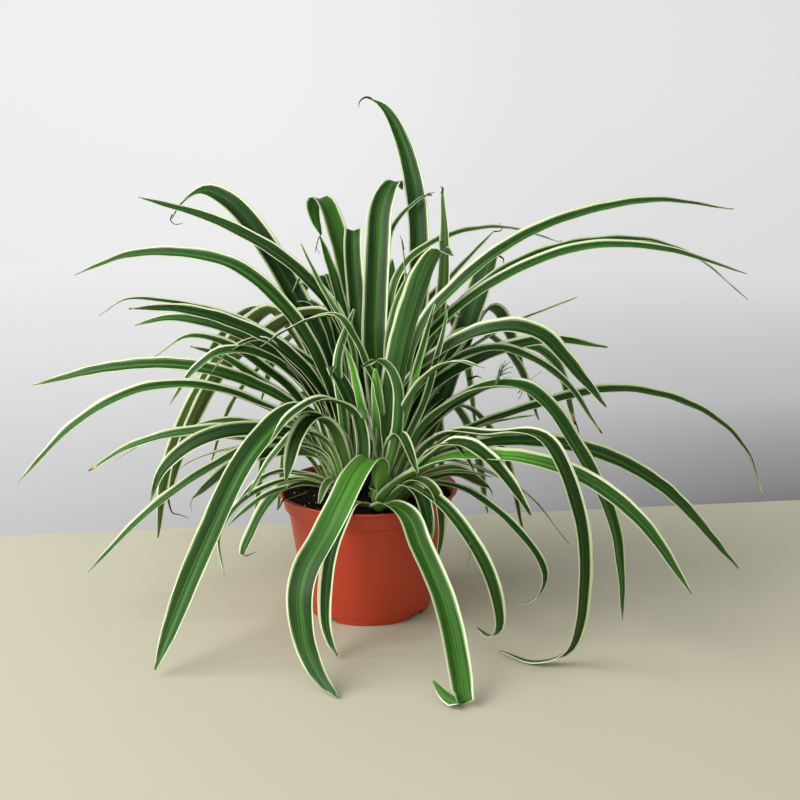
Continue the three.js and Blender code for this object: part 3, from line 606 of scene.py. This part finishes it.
def pot_material(settings):
    """Injection-moulded polypropylene, dyed terracotta: satin, with the faint orange-peel of the
    mould and paler scuffs."""
    material, add, shader = new_material("moulded_polypropylene")
    place = add("TexCoord").node.outputs["Object"]
    blotches = add("TexNoise", {
        "Vector": place, "Scale": 22.0, "Detail": 3.0, "Roughness": 0.55})
    shade = add("MapRange", {
        "Value": blotches, "From Min": 0.3, "From Max": 0.7, "To Min": 0.93, "To Max": 1.07})
    colour = add("HueSaturation", {"Color": settings.colour, "Value": shade})

    # Scuffs run mostly round the pot, where pots were stacked and turned.
    scuffs = add("Mapping", {"Vector": place, "Scale": (60.0, 60.0, 420.0)})
    scuffs = add("TexNoise", {"Vector": scuffs, "Scale": 1.0, "Detail": 2.0})
    scuffs = add("MapRange", {
        "Value": scuffs, "From Min": 0.62, "From Max": 0.78, "To Min": 0.0, "To Max": 0.05},
        **SMOOTH)
    colour = add("Mix", {FACTOR: scuffs, FIRST: colour, SECOND: linear("#D98A6C")})
    gloss = add("MapRange", {
        "Value": blotches, "From Min": 0.3, "From Max": 0.7,
        "To Min": settings.gloss - 0.05, "To Max": settings.gloss + 0.07})

    # The mould's grain is about 0.7 mm across and a hundredth of a millimetre deep.
    grain = add("TexNoise", {"Vector": place, "Scale": 1400.0, "Detail": 1.0})
    relief = add("Bump", {"Height": grain, "Distance": 0.03 * MM, "Strength": 0.5})
    set_inputs(shader, {
        "Base Color": colour, "Roughness": gloss, "Normal": relief,
        "IOR": 1.49,  # polypropylene
    })
    return material


def mix_material(name, colour, spread, roughness, grain_mm):
    """A piece of the potting mix: matt and crumbly, lighter where it has dried."""
    material, add, shader = new_material(name)
    patches = add("TexNoise", {
        "Vector": add("TexCoord").node.outputs["Object"], "Scale": 1 / (grain_mm * MM),
        "Detail": 4.0, "Roughness": 0.7})
    shade = add("MapRange", {
        "Value": patches, "From Min": 0.3, "From Max": 0.7,
        "To Min": 1 - spread, "To Max": 1 + spread})
    relief = add("Bump", {"Height": patches, "Distance": 0.4 * MM, "Strength": 0.8})
    set_inputs(shader, {
        "Base Color": add("HueSaturation", {"Color": colour, "Value": shade}),
        "Roughness": roughness, "Normal": relief,
        "Specular IOR Level": 0.15,  # crumbs shade their own shine
    })
    return material


def strand_material(name, colour):
    """Shrivelled leaf tissue: matt, darker and lighter by the millimetre."""
    material, add, shader = new_material(name)
    patches = add("TexNoise", {
        "Vector": add("TexCoord").node.outputs["Object"], "Scale": 400.0, "Detail": 2.0})
    shade = add("MapRange", {
        "Value": patches, "From Min": 0.3, "From Max": 0.7, "To Min": 0.6, "To Max": 1.4})
    set_inputs(shader, {
        "Base Color": add("HueSaturation", {"Color": colour, "Value": shade}),
        "Roughness": 0.7, "Specular IOR Level": 0.3})
    return material


def stage_material(settings):
    """Matt painted table and wall: one colour in front of the table's far edge, one behind it. The
    wall also glows with painted light and painted shade.
    """
    material, add, shader = new_material("matt_paint_and_painted_light")
    (x0, y0), (x1, y1) = TABLE_EDGE
    slope = (y1 - y0) / (x1 - x0)
    edge = (y0 - slope * x0) * MM
    x, y, _ = add("SeparateXYZ", {0: add("TexCoord").node.outputs["Object"]}).node.outputs
    lift = add("Math", {0: x, 1: slope}, operation="MULTIPLY")
    beyond = add("Math", {0: y, 1: lift}, operation="SUBTRACT")
    behind = add("MapRange", {
        "Value": beyond, "From Min": edge - MM, "From Max": edge + MM}, **SMOOTH)

    # Painted light: the wall glows by emission, though it is no lamp, and its glow fades as painted
    # shade towards the table and towards the right.
    far = add("MapRange", {
        "Value": beyond, "From Min": edge, "From Max": edge + WALL_FADE * MM})
    left_painted_light, right_painted_light = (
        add("ValToRGB", {"Fac": far}, stops=[(at, (grey, grey, grey, 1)) for at, grey in wall_painted_light])
        for wall_painted_light in (LEFT_WALL_PAINTED_LIGHT, RIGHT_WALL_PAINTED_LIGHT))
    rightness = add("MapRange", {
        "Value": x, "From Min": -450 * MM, "From Max": 550 * MM}, **SMOOTH)
    wall_painted_light = add("Mix", {FACTOR: rightness, FIRST: left_painted_light, SECOND: right_painted_light})
    set_inputs(shader, {
        "Base Color": add("Mix", {
            FACTOR: behind, FIRST: settings.table, SECOND: settings.wall}),
        # The wall's emission is painted light and painted shade; the table in front gives none.
        "Emission Color": add("Mix", {FACTOR: behind, FIRST: (0, 0, 0, 1), SECOND: wall_painted_light}),
        "Emission Strength": 1.0,
        "Roughness": 0.7,
        "Specular IOR Level": 0.3,
    })
    return material


# ---- pieces ----
def new_piece(name, bm, material, slot, *nodes):
    """The finished bmesh as an object of the part, smooth, riding on its one body."""
    mesh = bpy.data.meshes.new(name)
    bm.to_mesh(mesh)
    bm.free()
    mesh.shade_smooth()
    piece = bpy.data.objects.new(name, mesh)
    bpy.context.scene.collection.objects.link(piece)
    mesh.materials.append(material)
    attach(piece, "root")
    if nodes:
        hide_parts(*nodes)
    return piece


def spin_outline(bm, outline, sides):
    """Turns an outline of (radius, height) points round the Z axis. It starts on the axis."""
    verts = [bm.verts.new(mm(radius, 0, height)) for radius, height in outline]
    edges = [bm.edges.new(pair) for pair in zip(verts, verts[1:])]
    bmesh.ops.spin(
        bm, geom=verts + edges, cent=(0, 0, 0), axis=(0, 0, 1), angle=math.tau,
        steps=sides, use_merge=True)
    bmesh.ops.remove_doubles(bm, verts=bm.verts, dist=0.001 * MM)
    bmesh.ops.recalc_face_normals(bm, faces=bm.faces)


def close_ends(bm):
    """Closes every open end, and turns all faces outwards."""
    bmesh.ops.holes_fill(bm, edges=[edge for edge in bm.edges if edge.is_boundary])
    bmesh.ops.recalc_face_normals(bm, faces=bm.faces)


# ---- the pot ----
def pot_outline():
    """The pot's section, from the middle of its underside round the lip to the middle inside."""
    collar_bottom = POT_HEIGHT - COLLAR_HEIGHT
    body_top = collar_bottom - COLLAR_STEP
    body_bottom = FOOT_HEIGHT + FOOT_STEP
    lip = POT_HEIGHT - LIP_HEIGHT
    outside = [
        (0, 0), (FOOT_RADIUS - 0.8, 0), (FOOT_RADIUS, 0.8), (FOOT_RADIUS, FOOT_HEIGHT - 0.3),
        (FOOT_RADIUS + 0.1, FOOT_HEIGHT), (BODY_BOTTOM_RADIUS - 0.3, body_bottom - 0.1),
        (BODY_BOTTOM_RADIUS, body_bottom + 0.4), (BODY_TOP_RADIUS - 0.3, body_top - 1.5),
        (BODY_TOP_RADIUS, body_top), (BODY_TOP_RADIUS + 0.5, body_top + 0.9),
        (COLLAR_RADIUS - 0.8, collar_bottom - 0.5), (COLLAR_RADIUS - 0.1, collar_bottom),
        (COLLAR_RADIUS, collar_bottom + 0.5), (COLLAR_TOP_RADIUS, lip),
        (COLLAR_TOP_RADIUS + 0.7, lip + 2), (COLLAR_TOP_RADIUS + 1.9, lip + 5),
        (RIM_RADIUS - 0.7, POT_HEIGHT - 2.2), (RIM_RADIUS - 0.15, POT_HEIGHT - 1.9),
        (RIM_RADIUS, POT_HEIGHT - 1.3), (RIM_RADIUS - 0.1, POT_HEIGHT - 0.5),
        (RIM_RADIUS - 0.6, POT_HEIGHT - 0.08),
    ]
    inside = [
        (RIM_RADIUS - 1.3, POT_HEIGHT), (RIM_RADIUS - 2.2, POT_HEIGHT - 0.3),
        (RIM_RADIUS - 3.2, POT_HEIGHT - 1.8), (COLLAR_TOP_RADIUS + 0.6 - WALL, lip + 3.5),
        (COLLAR_TOP_RADIUS - WALL, lip + 0.8), (COLLAR_RADIUS - WALL, collar_bottom + WALL),
        (BODY_TOP_RADIUS - WALL, body_top), (BODY_BOTTOM_RADIUS - WALL, body_bottom),
        (BODY_BOTTOM_RADIUS - WALL - 1.5, FLOOR), (0, FLOOR),
    ]
    return outside + inside


def cut_notches(piece):
    """Cuts the drain notches out of the pot's foot."""
    mesh = bpy.data.meshes.new("notch_cutter")
    bm = bmesh.new()
    size = Matrix.Diagonal(mm(NOTCH_DEPTH * 2, NOTCH_WIDTH, NOTCH_HEIGHT * 2)).to_4x4()
    for i in range(NOTCH_COUNT):
        turn = Matrix.Rotation(math.radians(NOTCH_FIRST_ANGLE + i * 360 / NOTCH_COUNT), 4, "Z")
        bmesh.ops.create_cube(
            bm, size=1, matrix=turn @ Matrix.Translation(mm(FOOT_RADIUS, 0, 0)) @ size)
    bm.to_mesh(mesh)
    bm.free()
    cutter = bpy.data.objects.new("notch_cutter", mesh)
    bpy.context.scene.collection.objects.link(cutter)
    cut = piece.modifiers.new("notches", "BOOLEAN")
    cut.operation = "DIFFERENCE"
    cut.solver = "EXACT"
    cut.object = cutter
    bpy.context.view_layer.objects.active = piece
    bpy.ops.object.modifier_apply(modifier=cut.name)
    bpy.data.objects.remove(cutter)
    bpy.data.meshes.remove(mesh)
    piece.data.shade_smooth()


class PLANT_OT_pot(bpy.types.Operator):
    """Spin the nursery pot and cut its drain notches"""

    bl_idname = "plant.pot"
    bl_label = "Nursery pot"

    def execute(self, context):
        settings = context.scene.spider_pot
        bm = bmesh.new()
        spin_outline(bm, pot_outline(), settings.sides)
        cut_notches(new_piece("nursery_pot", bm, pot_material(settings), "pot_plastic", "pot"))
        return {"FINISHED"}


# ---- the potting mix ----
def mix_height(x, y):
    """Height of the mix above its mean level: broad mounds, lumps and crumbs."""
    mounds = math.sin(x * 0.11 + 1.3) * math.cos(y * 0.13 - 0.4)
    lumps = noise.noise(Vector((x, y, 0)) / 7)
    crumbs = noise.noise(Vector((x, y, 40)) / 2.6)
    bank = MIX_BANK * smooth_step((math.hypot(x, y) / MIX_RADIUS - BANK_FROM) / (1 - BANK_FROM))
    return bank + 1.0 * mounds + 1.6 * lumps + 0.9 * crumbs


def disc_point(x, y):
    """A point of the square from -1 to 1, moved so that the square becomes a round disc."""
    return x * math.sqrt(1 - y * y / 2), y * math.sqrt(1 - x * x / 2)


class PLANT_OT_potting_mix(bpy.types.Operator):
    """Lay the crumbly potting mix in the pot"""

    bl_idname = "plant.potting_mix"
    bl_label = "Potting mix"

    def execute(self, context):
        settings = context.scene.spider_mix
        bm = bmesh.new()
        bmesh.ops.create_grid(bm, x_segments=MIX_CELLS, y_segments=MIX_CELLS, size=1)
        rim = [edge for edge in bm.edges if edge.is_boundary]
        for vert in bm.verts:
            x, y = (MIX_RADIUS * value for value in disc_point(vert.co.x, vert.co.y))
            vert.co = mm(x, y, SOIL_TOP + mix_height(x, y))
        for radius, depth in ((MIX_RADIUS, 1), (MIX_FOOT_RADIUS, MIX_DEPTH)):
            skirt = bmesh.ops.extrude_edge_only(bm, edges=rim)["geom"]
            rim = [item for item in skirt if isinstance(item, bmesh.types.BMEdge)]
            for vert in {vert for edge in rim for vert in edge.verts}:
                vert.co *= radius * MM / vert.co.xy.length
                vert.co.z = (SOIL_TOP - depth) * MM
        close_ends(bm)
        peat = mix_material("moist_peat", settings.peat, 0.45, 0.95, 3)
        new_piece("mix_surface", bm, peat, "potting_mix", "soil")
        return {"FINISHED"}


def scatter(bm, count, low, high, numbers, sink):
    """Strews faceted crumbs, low to high millimetres across, over the mix."""
    for _ in range(count):
        radius = MIX_RADIUS * math.sqrt(next(numbers)) * 0.97
        angle = math.tau * next(numbers)
        x, y = radius * math.cos(angle), radius * math.sin(angle)
        size = between(numbers, low, high) / 2
        stretch = [size * between(numbers, 0.6, 1.3) for _ in range(3)]
        height = SOIL_TOP + mix_height(x, y) + size * sink
        turn = Matrix.Rotation(math.tau * next(numbers), 4, "Z")
        tilt = Matrix.Rotation(between(numbers, -0.6, 0.6), 4, "X")
        place = Matrix.Translation(mm(x, y, height)) @ turn @ tilt
        made = bmesh.ops.create_icosphere(
            bm, subdivisions=1, radius=1,
            matrix=place @ Matrix.Diagonal(mm(*stretch)).to_4x4())
        for vert in made["verts"]:
            vert.co += mm(*(between(numbers, -0.2, 0.2) * size for _ in range(3)))


class PLANT_OT_crumbs(bpy.types.Operator):
    """Strew bark crumbs and perlite grains over the mix"""

    bl_idname = "plant.crumbs"
    bl_label = "Crumbs and perlite"

    def execute(self, context):
        settings = context.scene.spider_mix
        numbers = seeded_random(11)
        bark = mix_material("bark_chips", settings.bark, 0.6, 0.9, 6)
        perlite = mix_material("perlite", settings.perlite, 0.12, 0.8, 1.5)
        for name, material, count, low, high, sink in (
                ("bark_crumbs", bark, settings.crumbs, 0.8, 2.8, 0.2),
                ("perlite_grains", perlite, settings.grains, 0.6, 1.6, 0.4)):
            bm = bmesh.new()
            scatter(bm, count, low, high, numbers, sink)
            new_piece(name, bm, material, "potting_mix")
        return {"FINISHED"}


# ---- the leaves ----
def catmull_rom(points, steps):
    """Points along a centripetal Catmull-Rom curve, steps to a span."""
    first = points[0] * 2 - points[1]
    last = points[-1] * 2 - points[-2]
    around = [first, *points, last]
    curve = []
    for p0, p1, p2, p3 in zip(around, around[1:], around[2:], around[3:]):
        d0, d1, d2 = (math.sqrt((b - a).length) for a, b in ((p0, p1), (p1, p2), (p2, p3)))
        start = ((p1 - p0) / d0 - (p2 - p0) / (d0 + d1) + (p2 - p1) / d1) * d1
        stop = ((p2 - p1) / d1 - (p3 - p1) / (d1 + d2) + (p3 - p2) / d2) * d1
        for i in range(steps):
            t = i / steps
            curve.append(
                p1 + start * t + (-3 * p1 + 3 * p2 - 2 * start - stop) * t ** 2
                + (2 * p1 - 2 * p2 + start + stop) * t ** 3)
    curve.append(points[-1])
    return curve


def resample(curve, count):
    """count + 1 points at even distances along a polyline, and its length."""
    reached = [0.0]
    for a, b in zip(curve, curve[1:]):
        reached.append(reached[-1] + (b - a).length)
    total = reached[-1]
    points = []
    i = 0
    for step in range(count + 1):
        wanted = total * step / count
        while i < len(curve) - 2 and reached[i + 1] < wanted:
            i += 1
        share = (wanted - reached[i]) / max(reached[i + 1] - reached[i], 1e-9)
        points.append(curve[i].lerp(curve[i + 1], clamp(share)))
    return points, total


def ahead_of(degrees):
    """The level direction with this heading."""
    angle = math.radians(degrees)
    return Vector((math.cos(angle), math.sin(angle), 0))


def left_of(degrees):
    """The level direction to the left of this heading."""
    angle = math.radians(degrees)
    return Vector((-math.sin(angle), math.cos(angle), 0))


def root_of(row):
    """Steep leaves come from high in the middle of the crown, flat ones from low outside."""
    out, up = row["path"][0][:2]
    rise = math.degrees(math.atan2(up - SOIL_TOP, abs(out)))
    steepness = clamp((rise - FLAT_RISE) / (90 - FLAT_RISE))
    return ((1 - steepness) * FURTHEST_ROOT, SOIL_TOP + steepness * HIGHEST_ROOT)


def midrib_of(row, centre):
    """The leaf's midrib as points at even distances, and its length."""
    ahead, left = ahead_of(row["heading"]), left_of(row["heading"])
    points = []
    for out, up, *aside in (root_of(row), *row["path"]):
        points.append(
            centre + ahead * out + left * (aside[0] if aside else 0) + Vector((0, 0, up)))
    curve = catmull_rom(points, FINE_STEPS // len(points))
    length = resample(curve, 1)[1]
    return resample(curve, int(clamp(length / RING_LENGTH, FEWEST_RINGS, MOST_RINGS)))


def bluntness_of(row):
    return row["look"].get("blunt", TAPER + max(row["width"] - SLENDER, 0) * TAPER_PER_WIDTH)


def width_at(share, widest, bluntness):
    base = max(NARROWEST_BASE, BASE_SHARE * widest)
    if share < WIDEST_AT:
        return blend(base, widest, smooth_step(share / WIDEST_AT))
    beyond = (share - WIDEST_AT) / (1 - WIDEST_AT)
    return blend(TIP_WIDTH, widest, 1 - beyond ** bluntness)


def fold_at(share, middle):
    opened = blend(FOLD_AT_BASE, middle, smooth_step(share / OPEN_AT))
    flattened = smooth_step((share - FLATTENS_FROM) / (1 - FLATTENS_FROM))
    return math.radians(opened + (FOLD_AT_TIP - FOLD_AT_MIDDLE) * flattened)


def blade_frame(row, points, i):
    """The directions across and above the blade at ring i."""
    tangent = (points[min(i + 1, len(points) - 1)] - points[max(i - 1, 0)]).normalized()
    left = left_of(row["heading"])
    left = (left - tangent * left.dot(tangent)).normalized()
    up = tangent.cross(left)
    side = 1 if math.cos(math.radians(row["heading"])) >= 0 else -1
    reached = smooth_step(i / (len(points) - 1) / LEANS_BY)
    turn = Matrix.Rotation(math.radians(row["lean"]) * side * reached, 3, tangent)
    return turn @ left, turn @ up


def margin_share(share, along, half, widest):
    """The margins start some way above the leaf's foot and grow thinner towards its tip."""
    narrowed = clamp(half / (widest * 0.35))
    return narrowed * smooth_step(along / MARGIN_FROM) * (1 - 0.5 * smooth_step((share - 0.7) / 0.3))


def section_outline():
    """Shares across, from -1 to 1, round the blade: over the upper face and back below."""
    upper = [-share for share in reversed(HALF_SECTION)] + list(HALF_SECTION[1:])
    return [(share, 0) for share in upper] + [(share, 1) for share in reversed(upper[1:-1])]


def grow_blade(bm, row, centre, layers, numbers, settings):
    """Wraps a grid round the blade's section, ring by ring, and welds it shut."""
    points, length = midrib_of(row, centre)
    rings = len(points) - 1
    outline = section_outline()
    spokes = len(outline)
    made = bmesh.ops.create_grid(bm, x_segments=spokes, y_segments=rings, size=0.5)["verts"]
    frames = [blade_frame(row, points, i) for i in range(rings + 1)]
    width, look = row["width"], row["look"]
    tint = next(numbers)
    ripple = between(numbers, *RIPPLE)
    ripple_phase = math.tau * next(numbers)
    ripple_length = between(numbers, *RIPPLE_LENGTH)
    margin = settings.margin_width / MM + MARGIN_PER_WIDTH * width
    margin *= between(numbers, *MARGIN_SPREAD)
    margin = look.get("margin", min(margin, width * BROADEST_MARGIN))
    dry = look.get("dry", between(numbers, *DRY_TIP) if next(numbers) < DRY_TIPS else 0.0)
    thickness = settings.thickness / MM
    for vert in made:
        spoke = round((vert.co.x + 0.5) * spokes) % spokes
        ring = round((vert.co.y + 0.5) * rings)
        share = ring / rings
        across, under = outline[spoke]
        half = width_at(share, width, bluntness_of(row)) / 2
        fold = fold_at(share, look.get("fold", FOLD_AT_MIDDLE))
        away = abs(across)
        rise = half * math.sin(fold) * ((1 - CUPPED) * away + CUPPED * away ** 2)
        rise += ripple * away ** 2 * smooth_step(share * 4) * math.sin(
            math.tau * share * length / ripple_length + ripple_phase + (across > 0) * RIPPLE_LAG)
        depth = thickness * (1 - 0.4 * share)
        depth += RIB_BULGE * (1 - 0.7 * share) * math.exp(-(away / RIB_BREADTH) ** 2)
        left, up = frames[ring]
        place = points[ring] - left * (across * half * math.cos(fold))
        place += up * (rise - depth * under * min(1, half / 2))
        vert.co = place * MM
        edge = margin * margin_share(share, share * length, half, width)
        bright = blend(*look.get("bright", (0, 0)), smooth_step((share - 0.25) / 0.45))
        for layer, value in zip(layers, (
                (across, share, under if away < 1 else 0.5),
                (across * half, share * length, half * (1 - away)),
                (tint, dry, edge),
                (bright, (1 - share) * length, look.get("aged", 0.0)))):
            vert[layer] = value
    bmesh.ops.remove_doubles(bm, verts=made, dist=0.0005 * MM)


def grow_back_leaves(start, stop, seed):
    """Rows for the plant's far side, by the same rule as in the part's source."""
    numbers = seeded_random(seed)
    step = (stop - start) / BACK_COUNT
    rows = []
    for i in range(BACK_COUNT):
        heading = start + step * (i + between(numbers, 0.2, 0.8))
        reach, apex, end, width = (
            size * between(numbers, *spread)
            for size, spread in zip(BACK_TIERS[i % len(BACK_TIERS)], BACK_SPREADS))
        climb = SOIL_TOP + (apex - SOIL_TOP) * CLIMB
        shoulder = apex - (apex - end) * DROOP
        rows.append(leaf(
            heading, width, 0, (reach * 0.2, climb), (reach * 0.5, apex),
            (reach * 0.8, shoulder), (reach, end)))
    return rows


def sheath_rows(numbers):
    """The short sheaths that wrap a crown's foot."""
    rows = []
    for i in range(SHEATHS):
        heading = i * 360 / SHEATHS + between(numbers, -15, 15)
        height = between(numbers, 12, 26)
        rows.append(leaf(
            heading, between(numbers, 13, 18), 0, (7.5, SOIL_TOP + height * 0.5),
            (8.5, SOIL_TOP + height * 0.8), (11, SOIL_TOP + height), dry=0))
    return rows


class PLANT_OT_leaves(bpy.types.Operator):
    """Grow the leaf blades of the six rosettes"""

    bl_idname = "plant.leaves"
    bl_label = "Leaf blades"

    def execute(self, context):
        settings = context.scene.spider_leaves
        material = leaf_material(settings)
        for seed, (name, (direction, leaves)) in enumerate(ROSETTES.items(), start=1):
            numbers = seeded_random(seed * 1009)
            rows = list(leaves)
            if name in BACK_HEADINGS:
                rows += grow_back_leaves(*BACK_HEADINGS[name])
            rows += sheath_rows(numbers)
            bm = bmesh.new()
            layers = [bm.verts.layers.float_vector.new(layer) for layer in LEAF_LAYERS]
            centre = ahead_of(direction) * RING_OF_CROWNS
            for row in rows:
                grow_blade(bm, row, centre, layers, numbers, settings)
            close_ends(bm)
            new_piece("leaves_" + name, bm, material, "leaf", "rosette_" + name)
        return {"FINISHED"}


# ---- the strands ----
def grow_strand(bm, breadth, *path):
    """Wraps a grid round a thin curve, narrower towards its end, and welds it shut."""
    curve = catmull_rom([Vector(point) for point in path], FINE_STEPS // len(path))
    points = resample(curve, STRAND_RINGS)[0]
    made = bmesh.ops.create_grid(
        bm, x_segments=STRAND_SIDES, y_segments=STRAND_RINGS, size=0.5)["verts"]
    for vert in made:
        ring = round((vert.co.y + 0.5) * STRAND_RINGS)
        around = math.tau * (vert.co.x + 0.5)
        tangent = points[min(ring + 1, STRAND_RINGS)] - points[max(ring - 1, 0)]
        side = tangent.cross(Vector((0.1, 1, 0.2))).normalized()
        over = tangent.cross(side).normalized()
        radius = blend(breadth, STRAND_END, ring / STRAND_RINGS) / 2
        vert.co = (points[ring] + (side * math.cos(around) + over * math.sin(around)) * radius) * MM
    bmesh.ops.remove_doubles(bm, verts=made, dist=0.0005 * MM)


class PLANT_OT_strands(bpy.types.Operator):
    """Draw the shrivelled tips, hairs and stalks"""

    bl_idname = "plant.strands"
    bl_label = "Dried strands"

    def execute(self, context):
        settings = context.scene.spider_leaves
        colours = {"dried": settings.dry, "straw": settings.straw, "green": settings.underside}
        for kind, rows in STRANDS.items():
            bm = bmesh.new()
            for row in rows:
                grow_strand(bm, *row)
            close_ends(bm)
            material = strand_material("leaf_strand_" + kind, colours[kind])
            new_piece("strands_" + kind, bm, material, "leaf")
        return {"FINISHED"}


# ---- the studio ----
def add_light(name, place, side, power, colour):
    light = bpy.data.lights.new(name, "AREA")
    light.shape = "RECTANGLE"
    light.size = light.size_y = side * MM
    light.energy = power
    light.color = linear(colour)[:3]
    lamp = bpy.data.objects.new(name, light)
    lamp.location = mm(*place)
    lamp.rotation_euler = (mm(*LIGHT_AIM) - lamp.location).to_track_quat("-Z", "Y").to_euler()
    lamp.visible_camera = False
    bpy.context.scene.collection.objects.link(lamp)


class PLANT_OT_stage(bpy.types.Operator):
    """Set up the table, the soft lights and the camera"""

    bl_idname = "plant.stage"
    bl_label = "Studio"

    def execute(self, context):
        scene = context.scene
        settings = scene.spider_stage
        outline = [(0, 0), (STAGE_RADIUS - SWEEP, 0)]
        for i in range(1, SWEEP_STEPS + 1):
            turn = math.radians(90 * i / SWEEP_STEPS)
            outline.append(
                (STAGE_RADIUS - SWEEP * (1 - math.sin(turn)), SWEEP * (1 - math.cos(turn))))
        outline.append((STAGE_RADIUS, STAGE_HEIGHT))
        bm = bmesh.new()
        spin_outline(bm, outline, STAGE_SIDES)
        bmesh.ops.reverse_faces(bm, faces=bm.faces)
        mesh = bpy.data.meshes.new("studio_floor")
        bm.to_mesh(mesh)
        bm.free()
        mesh.shade_smooth()
        mesh.materials.append(stage_material(settings))
        floor = bpy.data.objects.new("studio_floor", mesh)
        scene.collection.objects.link(floor)

        add_light("key_light", KEY_PLACE, KEY_SIDE, settings.key, "#FFFFFF")
        add_light("fill_light", FILL_PLACE, FILL_SIDE, settings.fill, "#EEF2FF")
        scene.world = bpy.data.worlds.new("studio_air")
        scene.world.use_nodes = True
        set_inputs(scene.world.node_tree.nodes["Background"], {
            "Color": linear("#EEF1F6"), "Strength": 0.5})
        scene.view_settings.view_transform = "Standard"

        lens = bpy.data.cameras.new("camera")
        lens.sensor_width = SENSOR
        lens.lens = LENS
        camera = bpy.data.objects.new("camera", lens)
        camera.location = mm(*CAMERA_PLACE)
        camera.rotation_euler = (math.radians(CAMERA_TILT), 0, 0)
        scene.collection.objects.link(camera)
        scene.camera = camera
        return {"FINISHED"}


# ---- the add-on ----
STEPS = [
    PLANT_OT_pot, PLANT_OT_potting_mix, PLANT_OT_crumbs, PLANT_OT_leaves, PLANT_OT_strands,
    PLANT_OT_stage,
]


class PLANT_PT_panel(bpy.types.Panel):
    """Lists the pieces of the plant"""

    bl_idname = "PLANT_PT_panel"
    bl_label = "Potted spider plant"
    bl_space_type = "VIEW_3D"
    bl_region_type = "UI"
    bl_category = "Plant"

    def draw(self, context):
        for step in STEPS:
            self.layout.operator(step.bl_idname)
        for name, group in SETTINGS.items():
            box = self.layout.box()
            box.label(text=group.__doc__)
            for field in group.__annotations__:
                box.prop(getattr(context.scene, name), field)


def register():
    for name, group in SETTINGS.items():
        bpy.utils.register_class(group)
        setattr(bpy.types.Scene, name, PointerProperty(type=group))
    for item in (*STEPS, PLANT_PT_panel):
        bpy.utils.register_class(item)


def unregister():
    for item in (PLANT_PT_panel, *reversed(STEPS)):
        bpy.utils.unregister_class(item)
    for name, group in SETTINGS.items():
        delattr(bpy.types.Scene, name)
        bpy.utils.unregister_class(group)


def main():
    register()
    for step in STEPS:
        area, name = step.bl_idname.split(".")
        getattr(getattr(bpy.ops, area), name)()


if __name__ == "__main__":
    main()
